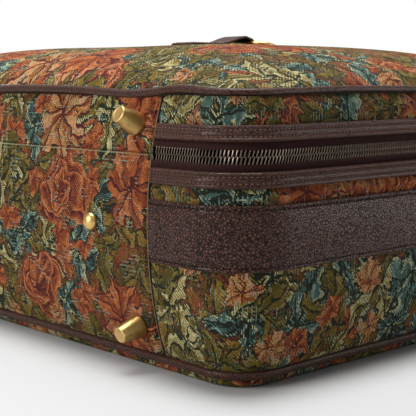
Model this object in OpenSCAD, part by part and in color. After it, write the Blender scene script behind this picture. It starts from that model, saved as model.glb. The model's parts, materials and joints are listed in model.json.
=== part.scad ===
// Soft-sided suitcase lying on its back, in millimetres.
// X runs along the long base, Y from the base (feet) to the handle side, Z up out of the lid.
// The origin is the middle of the back panel, on the surface that it lies on.

/* [Case] */
// Length of the case between the piping lines
case_w = 500; // [420:5:600]
// Height of the case between the piping lines, from base to handle side
case_h = 350; // [300:5:420]
// Depth of the case between the two pipings
case_d = 175; // [160:1:200]
// Corner radius of the piping line
corner_r = 30; // [28:1:45]
// How far the side walls swell beyond the piping line at half depth
wall_bulge = 14; // [8:1:18]
// Height of the lid's crown above the piping
dome_h = 36; // [20:1:50]
// Height of the back piping above the floor
back_lift = 8; // [7:0.5:12]

/* [Fabric] */
// Thickness of the padded fabric side wall
wall_t = 3.6; // [3:0.1:4.5]
// Thickness of the fabric over the base
base_fabric_t = 1.6; // [1:0.1:2]
// Thickness of the padded lid and of the back panel
panel_t = 3.6; // [3:0.1:5]
// Thickness of the lining cloth
lining_t = 1; // [0.8:0.1:1.4]
// Air between the walls and the lining, which holds the nuts of the feet
lining_air = 1.8; // [1.7:0.1:2.5]
// Thickness of the board that stiffens the base
board_t = 1.9; // [1.5:0.1:2]
// Distance of the base seams from the corner of the piping line
seam_inset = 70; // [55:1:90]
// Gap left between sewn layers
lay = 0.1; // [0.05:0.05:0.2]

/* [Leather] */
// Radius of the leather piping
piping_r = 2.8; // [2:0.1:3.5]
// Width of the wide leather band round the sides
band_w = 40; // [30:1:46]
// Thickness of the wide leather band
band_t = 2; // [1.5:0.1:2.4]
// Width of the fabric strip between the band and the binding along the zip
band_gap = 9.75; // [6:0.25:14]
// Width of the leather binding strips along the zip
binding_w = 10; // [8:0.5:12]
// Thickness of the binding strips
binding_t = 1.8; // [1.2:0.1:2.2]

/* [Zip] */
// Distance of the zip's middle line below the lid piping
zip_from_lid = 39; // [36:1:46]
// Clear width between the two binding strips
zip_opening = 17.5; // [16:0.5:20]
// Width of the closed tooth chain
chain_w = 8; // [7:0.2:9]
// Distance from tooth to tooth along one row
tooth_pitch = 2.5; // [2.2:0.1:3.2]
// Thickness of the teeth
tooth_t = 2.8; // [2.4:0.1:3.2]
// Thickness of the zip tape
tape_t = 1; // [0.8:0.1:1.2]
// Half of the slit between the two rows of teeth
chain_slit = 0.4; // [0.3:0.1:0.6]
// Length of a slider's body
slider_l = 14; // [12:0.5:18]
// Length of the leather pull below its eye
pull_l = 28; // [24:1:29]

/* [Feet] */
// Radius of a foot where it meets the base
foot_r = 8.3; // [6:0.1:9]
// Radius of a foot at its tip
foot_tip_r = 5.8; // [4:0.1:6]
// Length of a foot
foot_l = 19; // [14:0.5:20]
// Distance of the feet from the corner of the piping line, along the base
foot_inset = 87; // [80:1:110]
// Distance of the feet from the nearer piping, across the depth
foot_edge = 22; // [18:0.5:26]
// Distance of the domed stud from the corner of the piping line
stud_inset = 128; // [115:1:150]
// Radius of the domed stud
stud_r = 6.2; // [5:0.1:8]
// Radius of the shank that holds a foot or a stud
shank_r = 2; // [1.5:0.1:2.5]

/* [Handle] */
// Distance between the middles of the two handle rings
handle_span = 128; // [110:1:150]
// Radius of the rolled leather grip
grip_r = 8; // [6.5:0.1:9]
// Distance of the grip below the rings' outer bars
handle_drop = 44; // [40:1:48]
// Radius of the brass wire of the rings
wire_r = 2; // [1.6:0.1:2.3]
// Distance between the two bars of a handle ring
ring_reach = 14; // [13:0.5:16]
// Width of the leather loops that hold the rings
loop_w = 18; // [14:1:22]

/* [Lid loop] */
// Length of the leather loop that is sewn on the lid
tab_l = 76; // [60:1:90]
// Distance from the lid's middle to the near end of the loop
tab_start = -3; // [-10:1:10]
// Height of the loop over its ring's bar
tab_rise = 10; // [9.2:0.2:13]

/* [Hidden] */

$fn = 48;
arc_facets = 192;
leather = "#4b3632";
fabric = "#6b6a4a";
brass = "#b8923f";
gunmetal = "#5b5754";
lining = "#c9b79c";

// Sides are numbered anticlockwise from above: 0 right, 1 handle side, 2 left, 3 base.
function half_out(k) = k % 2 == 0 ? case_w / 2 : case_h / 2;
function half_run(k) = (k % 2 == 0 ? case_h / 2 : case_w / 2) - corner_r;

// The side walls follow one arc in section: out by n from the piping line at height z over the back piping.
arc_r = (wall_bulge * wall_bulge + case_d * case_d / 4) / (2 * wall_bulge);
function wall_n(z) = wall_bulge - arc_r + sqrt(arc_r * arc_r - pow(z - case_d / 2, 2));
function wall_tilt(z) = asin((z - case_d / 2) / arc_r);

seam_x = case_w / 2 - seam_inset;
mid = case_d / 2;
zip_level = case_d - zip_from_lid;
band_mid = zip_level - zip_opening / 2 - binding_w - band_gap - band_w / 2;
// How far the fabric runs under the binding strips
sew_in = 3;
tray_top = zip_level - zip_opening / 2 - binding_w + sew_in;
lid_bottom = zip_level + zip_opening / 2 + binding_w - sew_in;
// Share of the pitch that a tooth fills
tooth_share = 0.55;
row_h = chain_w / 2 - chain_slit;
rail_h = 1.4;
tape_out = -1.1;
teeth_out = tape_out + (tooth_t - tape_t) / 2;
zip_n = wall_n(zip_level);
stop_l = 2.6;
stop_proud = 0.4;
board_out = -base_fabric_t - lay;
lining_out = -wall_t - lining_air;
nut_t = lining_air - 3 * lay;
nut_r = 4.5;

// A layer of the side wall between heights z1 and z2, from offset o1 to offset o2 outside the fabric.
module layer(z1, z2, o1, o2) {
    intersection() {
        difference() {
            translate([wall_bulge - arc_r, mid]) circle(r = arc_r + o2, $fn = arc_facets);
            translate([wall_bulge - arc_r, mid]) circle(r = arc_r + o1, $fn = arc_facets);
        }
        translate([-wall_bulge, z1]) square([4 * wall_bulge, z2 - z1]);
    }
}

// Sweeps a section along one straight side, from s1 to s2.
module side_run(k, s1, s2) {
    rotate([0, 0, 90 * k]) translate([half_out(k), s2, back_lift]) rotate([90, 0, 0])
        linear_extrude(s2 - s1) children();
}

// Sweeps a section round the corner after side k.
module corner_run(k) {
    rotate([0, 0, 90 * k]) translate([half_out(k) - corner_r, half_run(k), back_lift])
        rotate_extrude(angle = 90) translate([corner_r, 0]) children();
}

// Sweeps a section right round the case.
module all_round() {
    for (k = [0:3]) {
        side_run(k, -half_run(k), half_run(k)) children();
        corner_run(k) children();
    }
}

// Sweeps a section round the three zipped sides and on to the two seams in the base.
module three_sides(seam_gap = lay) {
    for (k = [0:2])
        side_run(k, -half_run(k), half_run(k)) children();
    for (k = [0:3])
        corner_run(k) children();
    side_run(3, seam_x + seam_gap, half_run(3)) children();
    side_run(3, -half_run(3), -seam_x - seam_gap) children();
}

// Puts a piece on the base at x and height z, its own Z pointing straight out of the fabric.
module on_base(x, z) {
    translate([x, -case_h / 2 - wall_n(z), back_lift + z]) rotate([90 - wall_tilt(z), 0, 0]) children();
}

module mirrored_pair(inset) {
    for (sx = [-1, 1])
        translate([sx * (case_w / 2 - inset), 0, 0]) children();
}

// Holes in the base for the shanks of the feet at height z.
module shank_holes(inset, z) {
    mirrored_pair(inset) on_base(0, z) cylinder(r = shank_r + lay, h = 4 * wall_t, center = true);
}

module rounded_plate(w, h, r, t) {
    linear_extrude(t) {
        square([w - 2 * r, h], center = true);
        square([w, h - 2 * r], center = true);
        for (sx = [-1, 1], sy = [-1, 1])
            translate([sx * (w / 2 - r), sy * (h / 2 - r)]) circle(r = r);
    }
}

// Racetrack wire ring with its bars along X, the first bar on the origin and the second at -Z.
module wire_ring(bar, reach, r) {
    for (z = [0, -reach])
        translate([-bar / 2, 0, z]) rotate([0, 90, 0]) cylinder(r = r, h = bar);
    for (sx = [-1, 1])
        translate([sx * bar / 2, 0, -reach / 2]) rotate([90, 0, 0]) rotate([0, 0, -sx * 90])
            rotate_extrude(angle = 180) translate([reach / 2, 0]) circle(r = r);
}

// Crown of the lid over its rim
dome_p = 4;
dome_q = 0.7;
rim_drop = 2;
function crown(x, y) = dome_h * pow(max(0, (1 - pow(min(1, abs(x) / (case_w / 2)), dome_p))
    * (1 - pow(min(1, abs(y) / (case_h / 2)), dome_p))), dome_q);
lid_z = back_lift + case_d - rim_drop;

// Outline of a rounded panel, inset from the piping line, as points in order.
corner_steps = 6;
side_steps = 6;
function outline(inset) = let (r = corner_r - inset) [for (k = [0:3]) let (
    cx = half_out(k) - corner_r, cy = half_run(k), a = 90 * k)
    for (p = concat([for (i = [0:side_steps - 1]) [cx + r, -cy + 2 * cy * i / side_steps]],
        [for (i = [0:corner_steps - 1]) [cx + r * cos(90 * i / corner_steps), cy + r * sin(90 * i / corner_steps)]]))
        [p[0] * cos(a) - p[1] * sin(a), p[0] * sin(a) + p[1] * cos(a)]];

// Crowned sheet of thickness t whose upper face is the crown lowered by drop.
// Its rings close up towards the edge; fewer rings leave a margin inside the piping.
dome_rings = 9;
module crowned_sheet(drop, t, rings = dome_rings) {
    edge = outline(piping_r + lay);
    n = len(edge);
    scales = [for (i = [1:rings]) sin(90 * i / dome_rings)];
    upper = [for (s = scales) for (p = edge) [p[0] * s, p[1] * s, lid_z + crown(p[0] * s, p[1] * s) - drop]];
    lower = [for (p = upper) [p[0], p[1], p[2] - t]];
    top = [0, 0, lid_z + crown(0, 0) - drop];
    under = [0, 0, lid_z + crown(0, 0) - drop - t];
    half = n * rings;
    last = n * (rings - 1);
    polyhedron(points = concat(upper, lower, [top, under]), convexity = 4, faces = concat(
        [for (j = [0:n - 1]) [2 * half, (j + 1) % n, j]],
        [for (j = [0:n - 1]) [2 * half + 1, half + j, half + (j + 1) % n]],
        [for (i = [0:rings - 2]) for (j = [0:n - 1]) let (a = i * n + j, b = i * n + (j + 1) % n)
            each [[a, b, b + n], [a, b + n, a + n]]],
        [for (i = [0:rings - 2]) for (j = [0:n - 1]) let (a = half + i * n + j, b = half + i * n + (j + 1) % n)
            each [[a, b + n, b], [a, a + n, b + n]]],
        [for (j = [0:n - 1]) let (a = last + j, b = last + (j + 1) % n)
            each [[a, b, b + half], [a, b + half, a + half]]]));
}

// Corner radius of the flat middle of the back panel; its rolled edge takes up the rest of the corner
back_corner_r = 18;
back_roll = corner_r - back_corner_r;

// Gap between the edge of the back panel and the piping
panel_gap = 0.5;

// The edge drops steeply from the piping and rounds off into the flat middle, like a quarter of an ellipse.
module back_panel() {
    steps = 6;
    rim = piping_r + panel_gap;
    inner = rim + panel_t;
    color(fabric) {
        all_round() polygon(concat(
            [for (i = [0:steps]) let (a = 90 * i / steps)
                [-rim - (back_roll - rim) * (1 - cos(a)), -back_lift * sin(a)]],
            [for (i = [steps:-1:0]) let (a = 90 * i / steps)
                [-inner - (back_roll - inner) * (1 - cos(a)), panel_t - back_lift * sin(a)]]));
        rounded_plate(case_w - 2 * back_roll, case_h - 2 * back_roll, back_corner_r, panel_t);
    }
}

// Foam pad that fills the dish of the back panel under the lining.
module back_pad() {
    color("#d8d2c4") translate([0, 0, panel_t + lay])
        rounded_plate(case_w - 2 * back_roll, case_h - 2 * back_roll, back_corner_r, back_lift - lay);
}

module tray_gusset() {
    color(fabric) three_sides() layer(piping_r, tray_top, -wall_t, 0);
}

module base_panel() {
    color(fabric) difference() {
        side_run(3, -seam_x, seam_x) layer(piping_r, zip_level - lay, -base_fabric_t, 0);
        shank_holes(foot_inset, foot_edge);
        shank_holes(stud_inset, mid);
    }
}

module base_board() {
    color("#8a7358") difference() {
        side_run(3, -seam_x, seam_x) layer(2 * piping_r, zip_level - 2, board_out - board_t, board_out);
        shank_holes(foot_inset, foot_edge);
        shank_holes(stud_inset, mid);
    }
}

module piping(z) {
    color(leather) all_round() translate([0, z]) circle(r = piping_r);
}

module back_piping() {
    piping(0);
}

module leather_band() {
    color(leather) three_sides() layer(band_mid - band_w / 2, band_mid + band_w / 2, lay, lay + band_t);
}

module tray_zip_binding() {
    top = zip_level - zip_opening / 2;
    color(leather) three_sides() layer(top - binding_w, top, lay, lay + binding_t);
}

// Flat tape standing behind the slit; dir is 1 towards the lid and -1 towards the tray.
module zip_tape(edge, dir) {
    root = zip_level + dir * (chain_w / 2 + lay);
    color("#2e2624") three_sides() layer(min(root, edge), max(root, edge), tape_out - tape_t, tape_out);
}

module tray_zip_tape() {
    zip_tape(tray_top + lay, -1);
}

// One row of teeth standing on a rail, drawn with the teeth upwards from height 0.
function teeth_fit(length) = floor(length / tooth_pitch);
module tooth_comb(s1, s2) {
    n = teeth_fit(s2 - s1);
    step = (s2 - s1) / n;
    w = step * tooth_share;
    polygon(concat([[s1, 0], [s2, 0], [s2, rail_h]],
        [for (i = [n - 1:-1:0]) let (s = s1 + i * step + (step - w) / 2)
            each [[s + w, rail_h], [s + w, row_h], [s, row_h], [s, rail_h]]],
        [[s1, rail_h]]));
}

module straight_teeth(k, s1, s2) {
    rotate([0, 0, 90 * k]) translate([half_out(k) + zip_n + teeth_out - tooth_t, 0, 0])
        rotate([90, 0, 90]) linear_extrude(tooth_t) tooth_comb(s1, s2);
}

module corner_teeth(k) {
    r2 = corner_r + zip_n + teeth_out;
    r1 = r2 - tooth_t;
    n = teeth_fit(r2 * PI / 2);
    step = 90 / n;
    rotate([0, 0, 90 * k]) translate([half_out(k) - corner_r, half_run(k), 0]) {
        linear_extrude(rail_h) polygon(concat([for (i = [0:n]) r2 * [cos(i * step), sin(i * step)]],
            [for (i = [n:-1:0]) r1 * [cos(i * step), sin(i * step)]]));
        translate([0, 0, rail_h]) linear_extrude(row_h - rail_h) for (i = [0:n - 1]) polygon([
            for (c = [[r1, -1], [r2 * cos(step / 2), -1], [r2 * cos(step / 2), 1], [r1, 1]])
                let (a = step * (i + (1 + tooth_share * c[1]) / 2)) c[0] * [cos(a), sin(a)]]);
    }
}

// Whole row of teeth from seam to seam, standing on height 0.
module tooth_row() {
    end = seam_x + stop_l + 2 * lay;
    for (k = [0:2])
        straight_teeth(k, -half_run(k), half_run(k));
    for (k = [0:3])
        corner_teeth(k);
    straight_teeth(3, end, half_run(3));
    straight_teeth(3, -half_run(3), -end);
}

module tray_zip_teeth() {
    color(gunmetal) translate([0, 0, back_lift + zip_level - chain_w / 2]) tooth_row();
}

// End stops: a small clip over the end of each row, beside the seams.
module zip_stops(z) {
    color(gunmetal) for (s = [seam_x + lay, -seam_x - lay - stop_l])
        side_run(3, s, s + stop_l) translate([zip_n + teeth_out - tooth_t, z]) square([tooth_t + stop_proud, row_h]);
}

module tray_zip_stops() {
    zip_stops(zip_level - chain_w / 2);
}

// Lining cloth inside a wall, with a hem from height hem_z up that reaches out to the wall.
hem = 3;
module lining_wall(z1, z2, hem_z) {
    all_round() {
        layer(z1, z2, lining_out - lining_t, lining_out);
        layer(hem_z, hem_z + hem, lining_out - lining_t, -wall_t - 2 * lay);
    }
}

module tray_lining() {
    low = panel_t + lay;
    reach = -(wall_n(low) + lining_out - lining_t / 2);
    color(lining) {
        lining_wall(low, tray_top, tray_top - hem);
        translate([0, 0, back_lift + low])
            rounded_plate(case_w - 2 * reach, case_h - 2 * reach, corner_r - reach, lining_t);
    }
}

module foot() {
    rounding = 1.2;
    collar = 2;
    rotate_extrude() polygon(concat([[0, 2 * lay], [foot_r - 0.4, 2 * lay], [foot_r, 0.6], [foot_r, collar]],
        [for (a = [0:15:90]) [foot_tip_r - rounding + rounding * cos(a), foot_l - rounding + rounding * sin(a)]],
        [[0, foot_l]]));
    translate([0, 0, board_out - board_t - lay - nut_t]) cylinder(r = shank_r, h = foot_l / 2);
}

module stud() {
    rise = 5.6;
    ball = (stud_r * stud_r + rise * rise) / (2 * rise);
    rotate_extrude() intersection() {
        translate([0, rise - ball]) circle(r = ball);
        translate([0, 2 * lay]) square([stud_r, rise]);
    }
    translate([0, 0, board_out - board_t - lay - nut_t]) cylinder(r = shank_r, h = rise / 2 - board_out + board_t);
}

// Washer nut that clinches a shank against the inside of the board.
module nut() {
    translate([0, 0, board_out - board_t - lay - nut_t]) difference() {
        cylinder(r = nut_r, h = nut_t);
        translate([0, 0, -1]) cylinder(r = shank_r + lay / 2, h = nut_t + 2);
    }
}

module base_feet() {
    color(brass) mirrored_pair(foot_inset) on_base(0, foot_edge) foot();
}

module base_studs() {
    color(brass) mirrored_pair(stud_inset) on_base(0, mid) stud();
}

module base_nuts() {
    color(brass) {
        mirrored_pair(foot_inset) on_base(0, foot_edge) nut();
        mirrored_pair(stud_inset) on_base(0, mid) nut();
    }
}

// Handle: two leather chapes on the band hold the rings, which carry the rolled grip.
loop_t = 2.2;
loop_neck = 1.4;
ring_play = 0.3;
chape_out = lay + band_t + lay;
chape_h = band_w - 4;
chape_n = wall_n(band_mid) + chape_out;
pivot_n = chape_n + loop_t + ring_play + wire_r + loop_t + loop_neck;
pivot_y = case_h / 2 + pivot_n;
pivot_z = back_lift + band_mid;
ring_bar = loop_w + 2;

module at_pivots() {
    for (sx = [-1, 1])
        translate([sx * handle_span / 2, pivot_y, pivot_z]) children();
}

module handle_chapes() {
    outer = wire_r + ring_play + loop_t;
    color(leather) for (sx = [-1, 1])
        translate([sx * handle_span / 2 + loop_w / 2, case_h / 2, back_lift]) rotate([90, 0, 90])
            translate([0, 0, -loop_w]) linear_extrude(loop_w) difference() {
                union() {
                    layer(band_mid - chape_h / 2, band_mid + chape_h / 2, chape_out, chape_out + loop_t);
                    translate([pivot_n, band_mid]) circle(r = outer);
                    translate([chape_n + loop_t / 2, band_mid - loop_t])
                        square([pivot_n - chape_n - loop_t / 2, 2 * loop_t]);
                }
                translate([pivot_n, band_mid]) circle(r = wire_r + ring_play);
            }
}

module handle_rings() {
    color(brass) at_pivots() wire_ring(ring_bar, ring_reach, wire_r);
}

module handle_grip() {
    arm = 2 * grip_r;
    bend_r = handle_drop - arm;
    eye = wire_r + ring_play;
    color(leather) difference() {
        union() {
            at_pivots() translate([0, 0, -ring_reach]) {
                rotate([0, 90, 0]) cylinder(r = eye + loop_t, h = loop_w - 2, center = true);
                translate([0, 0, -arm / 2]) cube([loop_w - 4, 2 * eye, arm], center = true);
                translate([0, 0, -arm]) cylinder(r = grip_r, h = arm / 2);
            }
            translate([0, pivot_y, pivot_z - ring_reach - arm]) {
                for (sx = [-1, 1])
                    translate([sx * (handle_span / 2 - bend_r), 0, 0]) rotate([90, 0, 0])
                        rotate([0, 0, sx > 0 ? -90 : 180]) rotate_extrude(angle = 90)
                            translate([bend_r, 0]) circle(r = grip_r);
                translate([-handle_span / 2 + bend_r, 0, -bend_r]) rotate([0, 90, 0])
                    cylinder(r = grip_r, h = handle_span - 2 * bend_r);
            }
        }
        at_pivots() translate([0, 0, -ring_reach]) rotate([0, 90, 0])
            cylinder(r = eye, h = 2 * loop_w, center = true);
    }
}

module lid_panel() {
    color(fabric) crowned_sheet(0, panel_t);
}

module lid_gusset() {
    color(fabric) three_sides() layer(lid_bottom, case_d - piping_r, -wall_t, 0);
}

module lid_base_panel() {
    color(fabric) difference() {
        side_run(3, -seam_x, seam_x) layer(zip_level + lay, case_d - piping_r, -base_fabric_t, 0);
        shank_holes(foot_inset, case_d - foot_edge);
    }
}

module lid_base_board() {
    color("#8a7358") difference() {
        side_run(3, -seam_x, seam_x) layer(zip_level + 2, case_d - 2 * piping_r, board_out - board_t, board_out);
        shank_holes(foot_inset, case_d - foot_edge);
    }
}

module lid_piping() {
    piping(case_d);
}

module lid_zip_binding() {
    low = zip_level + zip_opening / 2;
    color(leather) three_sides() layer(low, low + binding_w, lay, lay + binding_t);
}

module lid_zip_tape() {
    zip_tape(lid_bottom - lay, 1);
}

module lid_zip_teeth() {
    color(gunmetal) translate([0, 0, back_lift + zip_level + chain_w / 2]) mirror([0, 0, 1]) tooth_row();
}

module lid_zip_stops() {
    zip_stops(zip_level + chain_slit);
}

module lid_lining() {
    top = case_d - 2 * piping_r;
    color(lining) lining_wall(lid_bottom, top, top - hem);
}

module lid_lining_panel() {
    color(lining) crowned_sheet(panel_t + lay, lining_t, dome_rings - 1);
}

module lid_feet() {
    color(brass) mirrored_pair(foot_inset) on_base(0, case_d - foot_edge) foot();
}

module lid_nuts() {
    color(brass) mirrored_pair(foot_inset) on_base(0, case_d - foot_edge) nut();
}

// Leather loop on the lid: a flat sewn end that swells to an eye with a brass ring.
tab_w = 26;
tab_t = 2.4;
tab_lift = 0.3;
lid_wire_r = 1.8;
lid_reach = 24;
eye_y = tab_start + tab_l - lid_wire_r - ring_play - tab_t;
function lid_top(y) = lid_z + crown(0, y) + tab_lift;
eye_z = lid_top(eye_y) + tab_t + ring_play + lid_wire_r;
function tab_height(t) = tab_t + (tab_rise - tab_t) * (t < 0.45 ? 0 : pow(sin(180 * (t - 0.45) / 0.9), 2))
    * (t > 0.9 ? sqrt(max(0.05, 1 - pow((t - 0.9) / 0.1, 2))) : 1);

module lid_tab() {
    steps = 40;
    color(leather) difference() {
        translate([-tab_w / 2, 0, 0]) rotate([90, 0, 90]) linear_extrude(tab_w) polygon(concat(
            [for (i = [0:steps]) let (y = tab_start + tab_l * i / steps) [y, lid_top(y)]],
            [for (i = [steps:-1:0]) let (y = tab_start + tab_l * i / steps) [y, lid_top(y) + tab_height(i / steps)]]));
        translate([0, eye_y, eye_z]) rotate([0, 90, 0])
            cylinder(r = lid_wire_r + ring_play, h = 2 * tab_w, center = true);
    }
}

module lid_ring() {
    rest_y = eye_y + lid_reach;
    rest_z = lid_top(rest_y) + lid_wire_r;
    color(brass) translate([0, eye_y, eye_z]) rotate([90 - asin((eye_z - rest_z) / lid_reach), 0, 0])
        wire_ring(tab_w + 2, lid_reach, lid_wire_r);
}

// Sliders: two plates before and behind the chain, a thin web in the slit, and a swivel post for the pull.
slider_x = slider_l / 2 + 1.5;
slider_w = chain_w + 3;
plate_t = 2.4;
slider_gap = 0.3;
post_r = 1.5;
post_l = 6.4;
post_head_r = 2.6;
link_t = 1.6;
slider_n = zip_n + teeth_out + slider_gap;

module on_zip(x) {
    translate([x, case_h / 2, back_lift + zip_level]) children();
}

module slider(x) {
    back_n = zip_n + teeth_out - tooth_t - slider_gap;
    web = 2 * (chain_slit - 0.15);
    color(gunmetal) on_zip(x) {
        translate([-slider_l / 2, slider_n, -slider_w / 2]) cube([slider_l, plate_t, slider_w]);
        translate([-slider_l / 2, back_n - plate_t / 2, -slider_w / 2]) cube([slider_l, plate_t / 2, slider_w]);
        translate([-slider_l / 4, back_n - plate_t / 4, -web / 2])
            cube([slider_l / 2, slider_n - back_n + plate_t / 2, web]);
        translate([0, slider_n + plate_t / 2, 0]) rotate([-90, 0, 0]) cylinder(r = post_r, h = post_l + plate_t / 2);
        translate([0, slider_n + plate_t + post_l, 0]) rotate([-90, 0, 0]) cylinder(r = post_head_r, h = 1);
    }
}

link_n = slider_n + plate_t + post_l - link_t - slider_gap;
link_drop = 9;

// Flat brass link: an eye round the post and a slot eye that carries the leather pull.
module pull_link(x) {
    color(brass) on_zip(x) translate([0, link_n + link_t, 0]) rotate([90, 0, 0]) linear_extrude(link_t) difference() {
        union() {
            circle(r = post_r + 2.2);
            translate([-1.6, -link_drop]) square([3.2, link_drop]);
            translate([0, -link_drop]) circle(r = 3.6);
        }
        circle(r = post_r + 0.2);
        translate([0, -link_drop]) circle(r = 1.7);
    }
}

// Leather pull: two layers sewn round the link's lower eye.
module pull_tab(x) {
    tab_half = 5;
    fold = link_t + 2 * slider_gap;
    color(leather) on_zip(x) translate([0, link_n + link_t / 2, 0]) rotate([90, 0, 0]) difference() {
        linear_extrude(fold + 1.6, center = true) {
            translate([-tab_half, -pull_l + tab_half]) square([2 * tab_half, pull_l - tab_half - link_drop - 0.5]);
            translate([0, -pull_l + tab_half]) circle(r = tab_half);
        }
        linear_extrude(fold, center = true) translate([-tab_half - 1, -link_drop - 4])
            square([2 * tab_half + 2, 8]);
    }
}

module right_slider() {
    slider(slider_x);
}

module right_pull_link() {
    pull_link(slider_x);
}

module right_pull_tab() {
    pull_tab(slider_x);
}

module left_slider() {
    slider(-slider_x);
}

module left_pull_link() {
    pull_link(-slider_x);
}

module left_pull_tab() {
    pull_tab(-slider_x);
}

back_panel();
back_pad();
tray_gusset();
base_panel();
base_board();
back_piping();
leather_band();
tray_zip_binding();
tray_zip_tape();
tray_zip_teeth();
tray_zip_stops();
tray_lining();
base_feet();
base_studs();
base_nuts();
handle_chapes();
handle_rings();
handle_grip();
lid_panel();
lid_gusset();
lid_base_panel();
lid_base_board();
lid_piping();
lid_zip_binding();
lid_zip_tape();
lid_zip_teeth();
lid_zip_stops();
lid_lining();
lid_lining_panel();
lid_feet();
lid_nuts();
lid_tab();
lid_ring();
right_slider();
right_pull_link();
right_pull_tab();
left_slider();
left_pull_link();
left_pull_tab();
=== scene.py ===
"""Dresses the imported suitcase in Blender: woven tapestry, leather trim, a metal zip and brass."""

import json
import math
from types import SimpleNamespace

import bmesh
import bpy
import numpy as np
from bpy.props import FloatProperty, FloatVectorProperty, PointerProperty
from bpy.types import Operator, Panel, PropertyGroup
from mathutils import Matrix, Vector


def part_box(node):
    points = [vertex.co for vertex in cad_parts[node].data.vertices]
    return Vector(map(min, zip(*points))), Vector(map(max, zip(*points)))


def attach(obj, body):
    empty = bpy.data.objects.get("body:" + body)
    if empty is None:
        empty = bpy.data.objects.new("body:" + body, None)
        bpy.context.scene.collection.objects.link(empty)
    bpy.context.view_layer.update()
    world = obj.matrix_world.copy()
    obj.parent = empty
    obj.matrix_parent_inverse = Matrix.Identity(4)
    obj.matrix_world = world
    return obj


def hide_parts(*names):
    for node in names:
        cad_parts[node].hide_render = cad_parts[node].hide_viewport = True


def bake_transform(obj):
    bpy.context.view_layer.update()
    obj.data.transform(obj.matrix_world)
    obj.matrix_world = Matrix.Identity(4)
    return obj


bl_info = {
    "name": "Tapestry Suitcase",
    "version": (1, 0, 0),
    "blender": (4, 5, 0),
    "location": "View3D > Sidebar > Suitcase",
    "description": "Builds the cloth, leather, zip and fittings of a soft-sided suitcase on its frame",
    "category": "Object",
}

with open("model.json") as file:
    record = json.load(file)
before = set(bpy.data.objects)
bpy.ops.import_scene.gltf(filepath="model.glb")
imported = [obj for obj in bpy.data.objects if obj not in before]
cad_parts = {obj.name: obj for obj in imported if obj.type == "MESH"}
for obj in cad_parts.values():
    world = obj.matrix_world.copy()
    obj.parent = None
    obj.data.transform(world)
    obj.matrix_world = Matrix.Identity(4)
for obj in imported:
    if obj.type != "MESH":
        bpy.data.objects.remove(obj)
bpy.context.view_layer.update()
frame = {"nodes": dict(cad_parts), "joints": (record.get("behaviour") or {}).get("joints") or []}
MM = 0.001
LAY = 0.1 * MM  # gap between layers that lie on each other
SEW_IN = 3 * MM  # how far the walls reach under the zip's bindings
ROW_END = 2 * MM  # plain end of a row of stitches
SEAM_GAP = 0.55 * MM  # half the slit of a side seam
END_TUCK = 2.4 * MM  # depth to which cloth and bindings dive into a side seam
PIPE_SEAM = 2.2 * MM  # distance of the cloth's edges from the piping line
RING_PLAY = 0.3 * MM  # play of a ring in its strap
LOOP = 2.2 * MM  # thickness of the handle's straps
TAB = 2.4 * MM  # thickness of the lid's strap
SOFT_EDGE = 0.4 * MM  # rounding of the edges of cloth
ACROSS = (1, 0, 0)
LID_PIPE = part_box("lid_piping")
BACK_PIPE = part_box("back_piping")
PIPE_R = (LID_PIPE[1].z - LID_PIPE[0].z) / 2
BACK_Z = (BACK_PIPE[0].z + BACK_PIPE[1].z) / 2
RIM_WIDTH, RIM_HEIGHT = (LID_PIPE[1][k] - LID_PIPE[0][k] - 2 * PIPE_R for k in (0, 1))
DOWN_BASE = np.array([0.0, -1.0])


def length(label, note, default):
    """A length property in metres."""
    return FloatProperty(name=label, description=note, default=default, min=0, unit="LENGTH", precision=4)


def colour(label, note, *rgb):
    """A linear colour property."""
    limits = {"size": 3, "min": 0, "max": 1}
    return FloatVectorProperty(name=label, description=note, default=rgb, subtype="COLOR", **limits)


class CaseSizes(PropertyGroup):
    """Sizes of the case, in metres; the large ones are read from the frame."""

    width: length("Width", "Between the piping lines along the base", RIM_WIDTH)
    height: length("Height", "Between the piping lines from base to handle", RIM_HEIGHT)
    depth: length("Depth", "Between the two pipings", (LID_PIPE[0].z + LID_PIPE[1].z) / 2 - BACK_Z)
    corner: length("Corner", "Radius of the piping line's corners", 30 * MM)
    bulge: length("Bulge", "Swell of the side walls at half depth", 14 * MM)
    crown: length("Crown", "Height of the lid's crown over its rim", 36 * MM)
    wall: length("Wall", "Thickness of the padded side wall", 3.6 * MM)
    base_cloth: length("Base cloth", "Thickness of the cloth over the base", 1.6 * MM)
    panel: length("Panel", "Thickness of the padded lid and back", 3.6 * MM)
    lining: length("Lining", "Thickness of the lining", 1.0 * MM)
    seam: length("Seam", "Distance of the base seams from the middle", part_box("base_panel")[1].x)
    band_width: length("Band width", "Width of the wide leather band", 40 * MM)
    band_thick: length("Band thickness", "Thickness of the wide leather band", 2 * MM)
    binding_width: length("Binding width", "Width of the strips along the zip", 10 * MM)
    binding_thick: length("Binding thickness", "Thickness of the strips along the zip", 1.8 * MM)
    zip_level: length("Zip level", "Zip's middle line over the back piping", 136 * MM)
    zip_opening: length("Zip opening", "Clear width between the two bindings", 17.5 * MM)
    chain: length("Chain", "Width of the closed tooth chain", 8 * MM)
    tooth_pitch: length("Tooth pitch", "Distance from tooth to tooth in one row", 2.5 * MM)
    tooth_thick: length("Tooth thickness", "Thickness of the teeth", 2.8 * MM)
    stitch_pitch: length("Stitch pitch", "Distance from stitch to stitch on leather", 3.1 * MM)
    foot_x: length("Foot place", "Distance of the feet from the middle of the base", 163 * MM)
    foot_edge: length("Foot edge", "Distance of the feet from the piping lines", 22 * MM)
    foot_lean: FloatProperty(
        name="Foot lean", description="Tilt of the upper feet out of the base",
        default=math.radians(12), subtype="ANGLE")
    stud_x: length("Stud place", "Distance of the studs from the middle of the base", 122 * MM)
    grip: length("Grip", "Radius of the rolled grip", 8 * MM)
    handle_span: length("Handle span", "Distance between the handle rings", 128 * MM)
    yarn: length("Yarn", "Width of one yarn of the tapestry", 0.66 * MM)
    grain: length("Grain", "Size of the pebbles of the leather", 1.95 * MM)


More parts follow.
